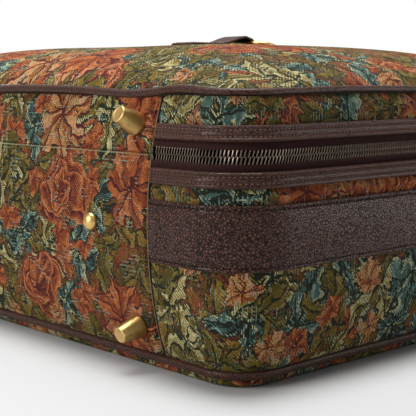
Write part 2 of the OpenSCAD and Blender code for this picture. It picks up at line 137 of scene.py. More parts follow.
class CaseColours(PropertyGroup):
    """Linear colours of the yarns, leather, metal and stage."""

    ground: colour("Ground", "Dark teal ground of the tapestry", 0.016, 0.019, 0.012)
    umber: colour("Umber", "Brown yarn", 0.112, 0.048, 0.016)
    moss: colour("Moss", "Moss green yarn", 0.077, 0.060, 0.0125)
    olive: colour("Olive", "Olive yarn", 0.150, 0.102, 0.0175)
    gold: colour("Gold", "Gold brown yarn", 0.255, 0.117, 0.024)
    teal: colour("Teal", "Teal yarn", 0.052, 0.095, 0.08)
    sky: colour("Sky", "Pale blue-green yarn", 0.18, 0.26, 0.215)
    sage: colour("Sage", "Sage yarn", 0.255, 0.205, 0.085)
    cream: colour("Cream", "Cream yarn", 0.43, 0.395, 0.2)
    maroon: colour("Maroon", "Maroon yarn", 0.066, 0.014, 0.013)
    rust: colour("Rust", "Rust red yarn", 0.190, 0.045, 0.017)
    terracotta: colour("Terracotta", "Terracotta yarn", 0.325, 0.098, 0.030)
    salmon: colour("Salmon", "Salmon yarn", 0.46, 0.205, 0.09)
    lilac: colour("Lilac", "Pale pink-lilac yarn", 0.43, 0.265, 0.185)
    leather: colour("Leather", "Brown leather", 0.054, 0.0190, 0.0110)
    thread: colour("Thread", "Sewing thread of the leather", 0.160, 0.090, 0.070)
    hinge_thread: colour("Hinge thread", "Pale thread across the base", 0.3, 0.33, 0.2)
    # Dark thread of the band's stitches; the same colour is a painted shadow in the side seams and beside
    # the pipings, and painted shade in the bindings' stitch holes
    dark_thread_and_painted_shade: colour("Seam thread", "Dark thread, seam cords and stitch holes", 0.012, 0.009, 0.006)
    tape: colour("Tape", "Woven tape of the zip", 0.03, 0.0115, 0.0105)
    teeth: colour("Teeth", "Antiqued metal of the zip", 0.165, 0.126, 0.097)
    brass: colour("Brass", "Satin brass", 0.690, 0.455, 0.165)
    cloth: colour("Lining cloth", "Lining inside", 0.430, 0.340, 0.235)
    board: colour("Board", "Fibre board in the base", 0.300, 0.220, 0.140)
    foam: colour("Foam", "Padding", 0.620, 0.590, 0.520)
    floor: colour("Floor", "Studio floor", 0.60, 0.60, 0.60)


def sizes():
    """Sizes set on the scene."""
    return bpy.context.scene.suitcase_sizes


def colours():
    """Colours set on the scene."""
    return bpy.context.scene.suitcase_colours


def operation(name, swapped=False):
    """A method of Value that adds one Math node."""

    def method(self, *others):
        return self.finish.math(name, *((*others, self) if swapped else (self, *others)))

    return method


class Value:
    """A socket of a finish; arithmetic on a number socket adds Math nodes."""

    def __init__(self, finish, socket):
        self.finish, self.socket = finish, socket

    __add__, __radd__ = operation("ADD"), operation("ADD", True)
    __sub__, __rsub__ = operation("SUBTRACT"), operation("SUBTRACT", True)
    __mul__, __rmul__ = operation("MULTIPLY"), operation("MULTIPLY", True)
    __truediv__, __mod__ = operation("DIVIDE"), operation("FLOORED_MODULO")
    __gt__, __lt__ = operation("GREATER_THAN"), operation("LESS_THAN")
    __abs__, __floor__ = operation("ABSOLUTE"), operation("FLOOR")


class Finish:
    """One procedural material and the few ways in which nodes are added to it."""

    def __init__(self, name):
        self.material = bpy.data.materials.new(name)
        self.material.use_nodes = True
        self.tree = self.material.node_tree
        self.shader = self.tree.nodes["Principled BSDF"]

    def feed(self, socket, value):
        if isinstance(value, Value):
            self.tree.links.new(value.socket, socket)
        elif socket.type == "RGBA":
            socket.default_value = (*value, 1)
        else:
            socket.default_value = value

    def node(self, kind, settings=None, sockets=None, output=0):
        """Adds a node, sets it up, feeds its sockets and returns one of its outputs."""
        made = self.tree.nodes.new("ShaderNode" + kind)
        for key, value in (settings or {}).items():
            if key == "stops":
                made.color_ramp.interpolation = "CONSTANT"
                while len(made.color_ramp.elements) < len(value):
                    made.color_ramp.elements.new(1)
                for element, (place, rgb) in zip(made.color_ramp.elements, value):
                    element.position, element.color = place, (*rgb, 1)
            else:
                setattr(made, key, value)
        for key, value in (sockets or {}).items():
            self.feed(made.inputs[key], value)
        return Value(self, made.outputs[output])

    def math(self, operation, *values):
        return self.node("Math", {"operation": operation}, dict(enumerate(values)))

    def mix(self, share, low, high, blend="MIX"):
        settings = {"data_type": "RGBA", "blend_type": blend}
        return self.node("Mix", settings, {0: share, 6: low, 7: high}, 2)

    def grey(self, value):
        return self.node("CombineColor", None, {0: value, 1: value, 2: value})

    def split(self, vector):
        return [self.node("SeparateXYZ", None, {0: vector}, i) for i in range(3)]

    def point(self, x, y, z=0.0):
        return self.node("CombineXYZ", None, {0: x, 1: y, 2: z})

    def noise(self, vector, scale, detail=2.0, plane=True, output=0):
        settings = {"noise_dimensions": "2D" if plane else "3D"}
        return self.node("TexNoise", settings, {"Vector": vector, "Scale": scale, "Detail": detail}, output)

    def smooth(self, value, low, high):
        settings = {"interpolation_type": "SMOOTHSTEP"}
        return self.node("MapRange", settings, {0: value, 1: low, 2: high, 3: 0.0, 4: 1.0})

    def ramp(self, value, *rgbs):
        """One flat colour after another as value runs from 0 to 1."""
        stops = [(i / len(rgbs), tuple(rgb)) for i, rgb in enumerate(rgbs)]
        return self.node("ValToRGB", {"stops": stops}, {0: value})

    def uv(self):
        return self.node("UVMap", {"uv_map": "UVMap"})

    def place(self):
        return self.node("TexCoord", None, None, "Object")

    def surface(self, base, rough, height=None, depth=0.0, strength=1.0, **constants):
        """Feeds the shader; height is in units of depth, in metres."""
        self.feed(self.shader.inputs["Base Color"], base)
        self.feed(self.shader.inputs["Roughness"], rough)
        for key, value in constants.items():
            self.shader.inputs[key.replace("_", " ")].default_value = value
        if height is not None:
            bump = self.node("Bump", None, {"Strength": strength, "Distance": depth, "Height": height})
            self.feed(self.shader.inputs["Normal"], bump)
        return self.material


def scattered(finish, point, size, shift, jitter):
    """Coordinates turned at random inside scattered cells, with three random numbers for each cell."""
    x, y, _ = finish.split(point)
    at = finish.point(x / size + shift[0], y / size + shift[1])
    sockets = {"Vector": at, "Scale": 1.0, "Randomness": jitter}
    flat = {"voronoi_dimensions": "2D"}
    centre, shade = (finish.node("TexVoronoi", flat, sockets, out) for out in ("Position", "Color"))
    local = finish.node("VectorMath", {"operation": "SUBTRACT"}, {0: at, 1: centre})
    chance = [finish.node("SeparateColor", None, {0: shade}, i) for i in range(3)]
    turn = chance[0] * math.tau
    dx, dy, _ = finish.split(local)
    cos, sin = finish.math("COSINE", turn), finish.math("SINE", turn)
    across, up = dx * cos + dy * sin, dy * cos - dx * sin
    reach = finish.math("SQRT", across * across + up * up)
    angle = finish.math("ARCTAN2", up, across)
    return reach, angle, chance


def leaf_spray(finish, point, tone, size, shift, leaves, reach, breadth, keep, first, second, jitter=0.8):
    """Leaves or petals that radiate from scattered centres: their cover and colour."""
    out, angle, chance = scattered(finish, point, size, shift, jitter)
    sector = math.tau / leaves
    lean = angle % sector - sector / 2
    along = out * finish.math("COSINE", lean) / reach
    across = abs(out * finish.math("SINE", lean) / reach)
    side = (angle % sector) > sector / 2
    lobes = 1 + 0.25 * finish.math("SINE", along * 21 + chance[1] * 9)
    depth = along * (1 - along) * (4 * breadth) * lobes - across
    cover = (depth > -0.05) * (chance[2] > keep)
    vein = (along * 3 - across * 5) % 1
    shade = 0.12 + 0.24 * vein + 0.26 * side + 0.18 * along + tone
    lit = (depth < 0.07) * (tone > 0.02)
    shade = shade + lit * 0.30
    shade = shade * (across > 0.03) * (depth > 0)
    return cover, finish.mix(chance[1] > 0.5, finish.ramp(shade, *first), finish.ramp(shade, *second))


def rose(finish, point, tone, size, shift, keep, petals):
    """Full roses with scalloped rings of petals: their cover and colour."""
    out, angle, chance = scattered(finish, point, size, shift, 0.6)
    ring = math.floor(out * 10)
    scallop = abs(finish.math("SINE", angle * 2.5 + ring * 1.9 + chance[1] * 6))
    spread = out / 0.46 + 0.17 * scallop - 0.24 * finish.math("SINE", angle * 3 + chance[1] * 9) * out
    turns = spread * 4.1 + angle / math.tau
    shade = (turns % 1) * 0.74 + tone * 1.15 + 0.16
    cover = (spread < 1) * (chance[2] > keep)
    heart = (spread < 0.28) * 0.4
    return cover, finish.ramp(shade - heart, *petals)


def tapestry_finish():
    """Woven floral tapestry: leaves, flowers and roses stepped to the yarn, with two-yarn hatching."""
    finish, c, yarn = Finish("tapestry_weave"), colours(), sizes().yarn
    u, v, _ = finish.split(finish.uv())
    column, row = math.floor(u / yarn), math.floor(v / yarn)
    cell = finish.point(column, row)
    px, py = (column + 0.5) * (yarn / MM), (row + 0.5) * (yarn / MM)
    stepped = finish.point(px, py)
    drift = finish.noise(stepped, 0.040, 2.0, output=1)
    dx, dy, _ = finish.split(drift)
    point = finish.point(px + (dx - 0.5) * 22, py + (dy - 0.5) * 22)
    zone = finish.noise(stepped, 0.050, 2.0)
    stripe = row % 2
    twill = ((row + column) % 4) > 1.5
    weave = stripe + (zone > 0.50) * (twill - stripe) - 0.5
    hatch = finish.smooth(finish.noise(stepped, 0.10, 2.0), 0.40, 0.60) * weave
    mottle = finish.noise(point, 0.17, 3.0) - 0.5
    tone = mottle * 0.62 + hatch * 0.34
    drab = 0.5 + (finish.noise(point, 0.075, 3.0) - 0.5) * 2.2 + hatch * 0.16
    drabs = (c.ground, c.umber, c.ground, c.moss, c.umber, c.maroon, c.rust, c.olive, c.umber, c.rust)
    cloth = finish.ramp(drab, *drabs)
    greens = (c.ground, c.moss, c.moss, c.olive, c.olive, c.sage)
    golds = (c.ground, c.umber, c.moss, c.olive, c.gold, c.sage)
    teals = (c.ground, c.ground, c.teal, c.teal, c.sky, c.cream)
    sages = (c.ground, c.moss, c.olive, c.sage, c.cream, c.cream)
    reds = (c.maroon, c.rust, c.rust, c.terracotta, c.terracotta, c.salmon)
    pinks = (c.maroon, c.rust, c.gold, c.salmon, c.sage, c.lilac)
    bloom = (c.maroon, c.maroon, c.maroon, c.rust, c.rust, c.terracotta, c.terracotta, c.salmon)
    layers = [
        leaf_spray(finish, point, tone, 31.0, (0.3, 0.1), 3, 0.60, 0.34, 0.05, greens, golds),
        leaf_spray(finish, point, tone, 44.0, (5.4, 2.7), 4, 0.62, 0.26, 0.25, golds, teals),
        leaf_spray(finish, point, tone, 33.0, (7.7, 5.1), 5, 0.42, 0.40, 0.72, reds, golds, 0.9),
        leaf_spray(finish, point, tone, 52.0, (1.9, 7.3), 4, 0.62, 0.24, 0.40, teals, sages),
        rose(finish, point, tone, 66.0, (3.2, 4.8), 0.60, bloom),
        leaf_spray(finish, point, tone, 40.0, (8.1, 3.4), 3, 0.58, 0.27, 0.52, greens, sages),
        leaf_spray(finish, point, tone, 29.0, (2.6, 9.2), 5, 0.42, 0.40, 0.76, reds, pinks, 0.9),
        leaf_spray(finish, point, tone, 74.0, (6.7, 0.6), 7, 0.42, 0.30, 0.74, pinks, reds, 0.6),
    ]
    for cover, shade in layers:
        cloth = finish.mix(cover, cloth, shade)
    dash = ((row % 4) < 0.5) * (finish.noise(stepped, 0.06, 2.0) > 0.53)
    dash = dash * (finish.noise(finish.point(column * 0.22, row * 1.7), 1.0, 1.0) > 0.47)
    dashes = finish.ramp(zone, c.ground, c.ground, c.teal, c.sky, c.teal, c.rust)
    cloth = finish.mix(dash * 0.8, cloth, dashes)
    speck = finish.node("TexWhiteNoise", {"noise_dimensions": "2D"}, {"Vector": cell})
    cloth = finish.mix(1.0, cloth, finish.grey(0.72 + 0.46 * speck), "MULTIPLY")
    rib_u, rib_v = abs((u / yarn) % 1 - 0.5) * 2, abs((v / yarn) % 1 - 0.5) * 2
    thread = (1 - rib_v * rib_v) * 0.7 + (1 - rib_u * rib_u) * 0.3
    return finish.surface(cloth, 0.86, thread, 0.18 * MM, 0.7, Specular_IOR_Level=0.10)


def leather_finish(name, grain, crease, depth, gloss):
    """Brown leather: pebbles of the size grain; creases darkened to the share crease of its colour and
    pebble tops lightened, a painted shade and painted highlight in place of the grain's own shading; a
    satin top.
    """
    finish, c = Finish(name), colours()
    at = finish.place()
    wander = finish.noise(at, 420.0, 1.0, False, 1)
    bent = finish.node("VectorMath", {"operation": "MULTIPLY_ADD"}, {0: wander, 1: (0.9 * MM,) * 3, 2: at})
    settings = {"voronoi_dimensions": "3D", "feature": "DISTANCE_TO_EDGE"}
    gap = finish.node("TexVoronoi", settings, {"Vector": bent, "Scale": 1 / grain})
    pebble = finish.smooth(gap, 0.02, 0.24)
    fine = finish.noise(at, 1300.0, 3.0, False)
    tone = finish.noise(at, 26.0, 3.0, False)
    # Painted shade and light: the creases keep the share crease of the colour, the pebble tops get top
    # times it
    top = 2.05 - 1.4 * crease
    base = finish.mix(pebble, [x * crease for x in c.leather], [x * top for x in c.leather])
    base = finish.mix(tone * 0.2, base, [x * 1.2 for x in c.leather])
    rough = gloss + 0.30 * (1 - pebble) + (fine - 0.5) * 0.2
    finish.feed(finish.shader.inputs["Coat Weight"], 0.06 + pebble * 0.26)
    height = pebble + fine * 0.35
    return finish.surface(base, rough, height, depth, 1.0, Specular_IOR_Level=0.16, Coat_Roughness=0.24)


def thread_finish(name, shade):
    """Twisted sewing thread."""
    finish = Finish(name)
    u, v, w = finish.split(finish.place())
    twist = ((u + v + w) / (0.45 * MM)) % 1
    base = finish.mix(twist, [x * 0.55 for x in shade], [min(1, x * 1.3) for x in shade])
    return finish.surface(base, 0.62 + 0.1 * twist, twist, 0.05 * MM, 0.5, Specular_IOR_Level=0.15)


def tape_finish():
    """Dark woven zip tape with a herringbone."""
    finish, c = Finish("herringbone_tape"), colours()
    u, v, _ = finish.split(finish.uv())
    zigzag = abs((v / (3.4 * MM)) % 1 - 0.5)
    rib = ((u / (1.25 * MM)) + zigzag * 3.2) % 1
    line = finish.smooth(abs(rib - 0.5), 0.10, 0.36)
    base = finish.mix(line, [x * 0.45 for x in c.tape], [x * 1.7 for x in c.tape])
    return finish.surface(base, 0.80, line, 0.14 * MM, 0.8, Specular_IOR_Level=0.1)


def metal_finish(name, shade, rough, stain, scratch):
    """Metal with faint brushing and a little tarnish."""
    finish = Finish(name)
    at = finish.place()
    cloud = finish.noise(at, 190.0, 4.0, False)
    x, y, z = finish.split(at)
    brushed = finish.noise(finish.point(x * 900, y * 900, z * 5200), 1.0, 2.0, False)
    base = finish.mix(finish.smooth(cloud, 0.35, 0.75), shade, [part * stain for part in shade])
    gloss = rough + (brushed - 0.5) * scratch + (cloud - 0.5) * 0.12
    return finish.surface(base, gloss, brushed, 0.02 * MM, 0.35, Metallic=1.0)


def lining_finish():
    """Plain twill lining."""
    finish, c = Finish("lining_twill"), colours()
    u, v, _ = finish.split(finish.uv())
    rib = abs(((u + v) / (1.1 * MM)) % 1 - 0.5) * 2
    cloud = finish.noise(finish.uv(), 60.0, 3.0)
    base = finish.mix(rib * 0.5 + cloud * 0.3, [x * 0.72 for x in c.cloth], c.cloth)
    return finish.surface(base, 0.82, rib, 0.10 * MM, 0.6, Sheen_Weight=0.1)


def fibre_finish(name, shade, scale):
    """Pressed fibre or foam."""
    finish = Finish(name)
    at = finish.place()
    fleck = finish.noise(at, scale, 5.0, False)
    base = finish.mix(fleck, [x * 0.65 for x in shade], shade)
    return finish.surface(base, 0.85, fleck, 0.3 * MM, 0.6)


FINISHES = {
    "tapestry": tapestry_finish,
    # The number after the grain is the share of colour left in the leather's creases, a painted shade
    "leather": lambda: leather_finish("pebbled_leather", sizes().grain, 0.03, 0.7 * MM, 0.38),
    "trim": lambda: leather_finish("trim_leather", sizes().grain * 0.74, 0.22, 0.20 * MM, 0.28),
    "thread": lambda: thread_finish("leather_thread", colours().thread),
    "hinge_thread": lambda: thread_finish("pale_thread", colours().hinge_thread),
    "dark_thread_and_painted_shade": lambda: thread_finish("dark_thread_and_painted_shade", colours().dark_thread_and_painted_shade),
    "zip_tape": tape_finish,
    "dark_metal": lambda: metal_finish("antiqued_metal", colours().teeth, 0.20, 0.60, 0.14),
    "brass": lambda: metal_finish("satin_brass", colours().brass, 0.33, 0.72, 0.20),
    "lining": lining_finish,
    "board": lambda: fibre_finish("fibre_board", colours().board, 700.0),
    "padding": lambda: fibre_finish("foam", colours().foam, 1100.0),
}
MADE = {}


def finish_of(name):
    """A finish of the case, made on first use."""
    if name not in MADE:
        MADE[name] = FINISHES[name]()
    return MADE[name]


def grid(points, uv=None, wrap_u=False, wrap_v=False, caps=False):
    """Faces over a grid of points, with a UV for each loop."""
    n, m = points.shape[:2]
    i, j = np.meshgrid(np.arange(n if wrap_u else n - 1), np.arange(m if wrap_v else m - 1), indexing="ij")
    i, j = i.ravel(), j.ravel()
    corners = [(i, j), (i + 1, j), (i + 1, j + 1), (i, j + 1)]
    faces = np.stack([(a % n) * m + b % m for a, b in corners], 1).tolist()
    loops = None if uv is None else np.stack([uv[a, b] for a, b in corners], 1).reshape(-1, 2)
    if caps:
        faces += [list(range(m))[::-1], [(n - 1) * m + k for k in range(m)]]
        if uv is not None:
            loops = np.concatenate([loops, uv[0, :m][::-1], uv[-1, :m]])
    return points.reshape(-1, 3), faces, loops


def merged(parts):
    """Several (points, faces) pairs as one."""
    points, faces, start = [], [], 0
    for some, found in parts:
        points.append(np.asarray(some))
        faces += [[k + start for k in face] for face in found]
        start += len(some)
    return np.concatenate(points), faces


def wrapped(points, plan):
    """Faces over points that close in their first direction; plan lays them out flat for the print."""
    uv = np.concatenate([plan, plan[:1]])
    return grid(points, np.concatenate([uv, uv[:, :1]], 1), True, False)


def turns(steps):
    """Angles of one full turn."""
    return np.arange(steps) / steps * math.tau


def bell(distance, width):
    """1 at no distance, falling to nothing within a few widths."""
    return np.exp(-((distance / width) ** 2))


def heading(degrees):
    """Unit vector in the plan."""
    return np.array([math.cos(math.radians(degrees)), math.sin(math.radians(degrees))])


def raised(plan, height):
    """Plan points at one world height or at a height each."""
    return np.concatenate([plan, np.broadcast_to(np.asarray(height)[..., None], (*plan.shape[:-1], 1))], -1)


def at_x(x, flat):
    """Points of a flat path (Y, Z) at one X."""
    return np.column_stack([np.full(len(flat), x), flat])


def beside(line, out, up):
    """Points at distances out of a line in the plan, at world heights."""
    return raised(line.points[:, None] + line.normals[:, None] * out[..., None], up)


def piece(name, shape, finish, body, nodes=(), sharp=38):
    """Makes a mesh, gives it a finish and lets it ride on a body in place of CAD nodes."""
    points, faces, loops = (*shape, None)[:3]
    mesh = bpy.data.meshes.new(name)
    mesh.from_pydata(points.tolist(), [], faces)
    if loops is not None:
        mesh.uv_layers.new(name="UVMap").data.foreach_set("uv", loops.ravel())
    work = bmesh.new()
    work.from_mesh(mesh)
    bmesh.ops.remove_doubles(work, verts=work.verts, dist=1e-7)
    bmesh.ops.recalc_face_normals(work, faces=work.faces)
    work.to_mesh(mesh)
    work.free()
    mesh.shade_smooth()
    mesh.set_sharp_from_angle(angle=math.radians(sharp))
    mesh.materials.append(finish_of(finish))
    made = bpy.data.objects.new(name, mesh)
    bpy.context.scene.collection.objects.link(made)
    if body:
        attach(made, body)
    if nodes:
        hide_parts(*nodes)
    return made


class Rim:
    """Points along the piping line, their outward normals and the running length of the swollen wall."""

    def __init__(self, points, normals, closed=False):
        self.points, self.normals, self.closed = np.array(points), np.array(normals), closed
        wall = self.points + self.normals * sizes().bulge * 0.7
        steps = np.linalg.norm(np.diff(wall, axis=0), axis=1)
        self.run = np.concatenate([[0], np.cumsum(steps)])
        self.total = self.run[-1]
        if closed:
            self.total += np.linalg.norm(wall[0] - wall[-1])

    def at(self, run):
        """Points, normals and directions at running lengths."""
        points = np.stack([np.interp(run, self.run, self.points[:, k]) for k in (0, 1)], -1)
        normals = np.stack([np.interp(run, self.run, self.normals[:, k]) for k in (0, 1)], -1)
        normals /= np.linalg.norm(normals, axis=-1, keepdims=True)
        return points, normals, np.stack([-normals[:, 1], normals[:, 0]], -1)

    def with_fine_ends(self):
        """The same line with close points at both ends, for rolled seam edges."""
        close = np.array([0.4, 0.9, 1.5, 2.2, 3.0, 4.0]) * MM
        run = np.unique(np.concatenate([self.run, close, self.total - close]))
        points, normals, _ = self.at(run)
        return Rim(points, normals)


def rim(kind, step=5 * MM, turn_steps=20):
    """The piping line all round, round the zipped sides from seam to seam, or along the base."""
    z = sizes()
    half_w, half_h, r = z.width / 2, z.height / 2, z.corner
    seam = z.seam + (-SEAM_GAP if kind == "base" else SEAM_GAP)
    points, normals = [], []

    def straight(start, end, normal):
        count = max(2, round(math.dist(start, end) / step))
        for share in np.arange(count) / count:
            points.append(np.array(start) * (1 - share) + np.array(end) * share)
            normals.append(np.array(normal, float))

    if kind == "base":
        straight((-seam, -half_h), (seam, -half_h), DOWN_BASE)
        return Rim(points + [np.array((seam, -half_h))], normals + [DOWN_BASE]).with_fine_ends()
    first, last = (0, 0) if kind == "all" else (seam, -seam)
    here = (first, -half_h)
    for k, (sx, sy) in enumerate(((1, -1), (1, 1), (-1, 1), (-1, -1))):
        centre = np.array((sx * (half_w - r), sy * (half_h - r)))
        start = 90 * k - 90
        straight(here, centre + r * heading(start), heading(start))
        for angle in start + 90 * np.arange(turn_steps) / turn_steps:
            normals.append(heading(angle))
            points.append(centre + r * normals[-1])
        here = centre + r * heading(start + 90)
    straight(here, (last, -half_h), DOWN_BASE)
    if kind == "all":
        return Rim(points, normals, True)
    return Rim(points + [np.array((last, -half_h))], normals + [DOWN_BASE]).with_fine_ends()


def arc_radius():
    """Radius of the swollen wall's section."""
    z = sizes()
    return (z.bulge**2 + z.depth**2 / 4) / (2 * z.bulge)


def wall_section(height, out):
    """Distance out of the piping line and world height of points on the wall's arc."""
    z, radius = sizes(), arc_radius()
    angle = np.arcsin(np.clip((height - z.depth / 2) / radius, -1, 1))
    reach = radius + out
    return z.bulge - radius + reach * np.cos(angle), BACK_Z + z.depth / 2 + reach * np.sin(angle)


def wall_points(line, height, out):
    """Points of the wall along a line, for heights over the back piping and offsets out of the cloth."""
    n, up = np.broadcast_arrays(*wall_section(height, out))
    n = np.broadcast_to(n, (len(line.points), n.shape[-1]))
    return beside(line, n, np.broadcast_to(up, n.shape))


def strip(name, line, section, finish, body, nodes=(), wave=None, shift=(0.0, 0.0), turned=False):
    """Sweeps a closed section (heights, offsets) along a line; wave moves it in and out."""
    height, out = (np.asarray(part, float) for part in section)
    place = np.broadcast_to(out, (len(line.run), len(out)))
    if wave is not None:
        place = place + wave(line.run[:, None], height[None, :], line.total)
    points = wall_points(line, height[None, :], place)
    radius = arc_radius()
    along = (np.append(line.run, line.total) if line.closed else line.run) + shift[0]
    up = radius * np.arcsin((height - sizes().depth / 2) / radius) + out * 0.5
    up = np.append(up, up[0]) + shift[1]
    uv = np.stack(np.broadcast_arrays(along[:, None], up[None, :]), -1)
    if turned:
        uv = uv[..., ::-1]
    return piece(name, grid(points, uv, line.closed, True, not line.closed), finish, body, nodes)


def slab(low, high, inner, outer, rows, edge=0.0, dips=(), dip=0.55 * MM, dip_width=0.7 * MM):
    """A strip's section: rounded outer edges, and furrows at the heights in dips."""
    t = np.linspace(0, 1, rows)
    z = low + (high - low) * ((0.5 - 0.5 * np.cos(math.pi * t)) if edge else t)
    z = np.unique(np.concatenate([z, *[d + np.linspace(-2, 2, 9) * dip_width for d in dips]]))
    roll = 0 * z
    if edge:
        near = np.clip(np.minimum(z - low, high - z) / edge, 0, 1)
        roll = edge * (1 - np.sqrt(np.clip(1 - (1 - near) ** 2, 0, 1)))
    furrow = sum((dip * bell(z - d, dip_width) for d in dips), np.zeros(len(z)))
    face = outer - np.minimum(roll, (outer - inner) * 0.8) - furrow
    back = np.linspace(high, low, max(2, min(len(z), round((high - low) / (6 * MM)) + 1)))
    return np.concatenate([z, back]), np.concatenate([face, np.full(len(back), inner)])


def lean_at_feet(run, height, total):
    """Cloth tilted round the upper feet, which lean up from the soft edge of the lid."""
    z = sizes()
    over = height - (z.depth - z.foot_edge)
    away = (np.abs(run - total / 2) - z.foot_x) ** 2 + over**2
    spread = 17 * MM
    return -math.tan(z.foot_lean) * over * np.exp(-away / spread**2)


def soft_wave(seams, swell, lean=None):
    """Cloth between sewn lines: pinched at the seams, swollen between them, with small puckers."""
    lines = np.array(sorted(seams))

    def wave(run, height, total):
        near = np.min(np.abs(height[..., None] - lines), -1)
        room = np.interp(height, lines, np.arange(len(lines)))
        bow = np.sin(math.pi * (room % 1)) ** 0.8 * swell
        ripple = np.sin(run * 640) + 0.7 * np.sin(run * 397 + 1.3) + 0.6 * np.sin(run * 1013 + 0.4)
        pucker = -0.16 * MM * np.exp(-near / (4.5 * MM)) * (1 + 0.55 * ripple)
        pucker = pucker - 0.7 * MM * np.exp(-near / (1.6 * MM))
        piped = np.clip(np.minimum(height - lines[0], lines[-1] - height) - PIPE_SEAM, 0, None)
        pucker = pucker - 1.2 * MM * np.exp(-piped / (1.5 * MM))
        sway = 0.35 * MM * np.sin(run * 23 + height * 31) + 0.25 * MM * np.sin(run * 51 - height * 44 + 2)
        end = np.minimum(run, total - run)
        tuck = -END_TUCK * bell(end, 1.6 * MM)
        calm = 1 - bell(end + 2 * MM, 9 * MM)
        tilt = lean(run, height, total) if lean else 0.0
        return (bow + sway + tilt) * (1 - np.exp(-near / (5 * MM))) * calm + pucker + tuck

    return wave


def tucked(depth, wave=None):
    """A strip whose two ends dive into the seams; wave is added to it."""

    def end_wave(run, height, total):
        end = np.minimum(run, total - run)
        dive = -depth * bell(end, 2.4 * MM) + 0 * height
        return dive if wave is None else dive + wave(run, height, total)

    return end_wave


def copies(points, faces, origins, axes):
    """A small shape repeated at origins, with its three axes given for each copy."""
    spread = origins[:, None, :] + np.einsum("mk,nkd->nmd", points, axes)
    count = len(points)
    many = [[k + i * count for k in face] for i in range(len(origins)) for face in faces]
    return spread.reshape(-1, 3), many


def stitch_shape(long, thick):
    """One sunk stitch along its first axis, standing out along its third."""
    t = np.array([-1.0, -0.62, 0.0, 0.62, 1.0])
    radius = np.array([0.45, 0.95, 1.0, 0.95, 0.45]) * thick / 2
    turn = turns(6)
    x = np.repeat((t * long / 2)[:, None], 6, 1)
    rise = (0.30 - 0.75 * t**4)[:, None] * thick
    points = np.stack([x, radius[:, None] * np.cos(turn), radius[:, None] * np.sin(turn) + rise], -1)
    return grid(points, None, False, True, True)[:2]


def even_pitch(total, pitch):
    """Count and exact pitch of stitches that fill a row between its two plain ends."""
    room = total - 2 * ROW_END
    count = int(room / pitch)
    return count, room / count


def wall_stitches(name, line, rows, pitch, thick, finish, body, share=0.70, start=0.5):
    """Rows of stitches along a line; each row gives its height and its offset out of the cloth."""
    count, pitch = even_pitch(line.total, pitch)
    run = ROW_END + (np.arange(count) + start) * pitch
    shape, faces = stitch_shape(pitch * share, thick)
    origins, axes = [], []
    for height, out in rows:
        plan, normal, along = line.at(run)
        n, up = wall_section(np.array(height), np.array(out))
        tilt = math.asin((height - sizes().depth / 2) / arc_radius())
        origins.append(raised(plan + normal * n, up))
        face, ahead = raised(normal * math.cos(tilt), math.sin(tilt)), raised(along, 0.0)
        axes.append(np.stack([ahead, np.cross(face, ahead), face], 1))
    sewn = copies(shape, faces, np.concatenate(origins), np.concatenate(axes))
    return piece(name, sewn, finish, body, sharp=70)


def outline(inset):
    """Closed outline of a rounded panel, inset from the piping line."""
    z, side_steps, turn_steps = sizes(), 36, 14
    r, points = z.corner - inset, []
    for k in range(4):
        out, run = (z.width, z.height) if k % 2 == 0 else (z.height, z.width)
        cx, cy = out / 2 - z.corner, run / 2 - z.corner
        side = [(cx + r, -cy + 2 * cy * i / side_steps) for i in range(side_steps)]
        turn = np.radians(90 * np.arange(turn_steps) / turn_steps)
        local = np.array(side + [(cx + r * math.cos(a), cy + r * math.sin(a)) for a in turn])
        points.append(local @ np.array([heading(90 * k), heading(90 * k + 90)]))
    return np.concatenate(points)


def fan(edge, rows):
    """Plan points from the middle to an outline, closest together at the outline."""
    return edge[:, None, :] * np.sin(np.linspace(0, math.pi / 2, rows))[None, :, None]


def lid_height(x, y):
    """World height of the lid's crowned top."""
    z = sizes()
    fall = [1 - np.minimum(1, np.abs(p) / (size / 2)) ** 4 for p, size in ((x, z.width), (y, z.height))]
    sunk = 2 * MM
    return BACK_Z + z.depth - sunk + z.crown * np.maximum(0, fall[0] * fall[1]) ** 0.7


def round_rect(wide, thick, radius):
    """Closed section of a strap with rounded edges."""
    points, steps = [], 4
    for k, corner in enumerate(((1, 1), (-1, 1), (-1, -1), (1, -1))):
        centre = np.array(corner) * (wide / 2 - radius, thick / 2 - radius)
        points += [centre + radius * heading(90 * k + 90 * i / steps) for i in range(steps + 1)]
    return np.array(points)


def loft(path, across, section):
    """Carries one section (across, outwards), or one for each point, along a flat path."""
    path, across = np.asarray(path, float), np.asarray(across, float)
    ahead = np.gradient(path, axis=0)
    ahead /= np.linalg.norm(ahead, axis=1, keepdims=True)
    outward = np.cross(across, ahead)
    section = np.broadcast_to(section, (len(path), *np.shape(section)[-2:]))
    points = path[:, None] + section[..., :1] * across + section[..., 1:] * outward[:, None]
    return grid(points, None, False, True, True)[:2]


def lathe(profile, origin, axis, steps=56):
    """Turns a profile (radius, height) about an axis."""
    turn = Vector(axis).to_track_quat("Z", "Y").to_matrix()
    angle, profile = turns(steps)[:, None], np.asarray(profile)
    points = raised(profile[:, :1] * np.stack([np.cos(angle), np.sin(angle)], -1), profile[:, 1])
    return grid(points @ np.array(turn).T + np.asarray(origin), None, True, False)[:2]


def plate(shape, low, high, bevel):
    """A flat plate with bevelled edges: outline in X and Z, thickness along Y."""
    shape = np.asarray(shape, float)
    ahead = np.roll(shape, -1, 0) - np.roll(shape, 1, 0)
    inward = np.column_stack([-ahead[:, 1], ahead[:, 0]]) / np.linalg.norm(ahead, axis=1, keepdims=True)
    rounding = ((0.0, bevel), (0.3 * bevel, 0.3 * bevel), (bevel, 0.0))
    rows = [(low + up, inset) for up, inset in rounding]
    rows += [(high - up, inset) for up, inset in rounding[::-1]]
    points = [np.insert(shape + inward * inset, 1, level, 1) for level, inset in rows]
    return grid(np.array(points), None, False, True, True)[:2]


def arc(centre, radius, start, end, steps):
    """Points of an arc, angles in degrees."""
    a = np.radians(np.linspace(start, end, steps))
    return np.column_stack([centre[0] + radius * np.cos(a), centre[1] + radius * np.sin(a)])


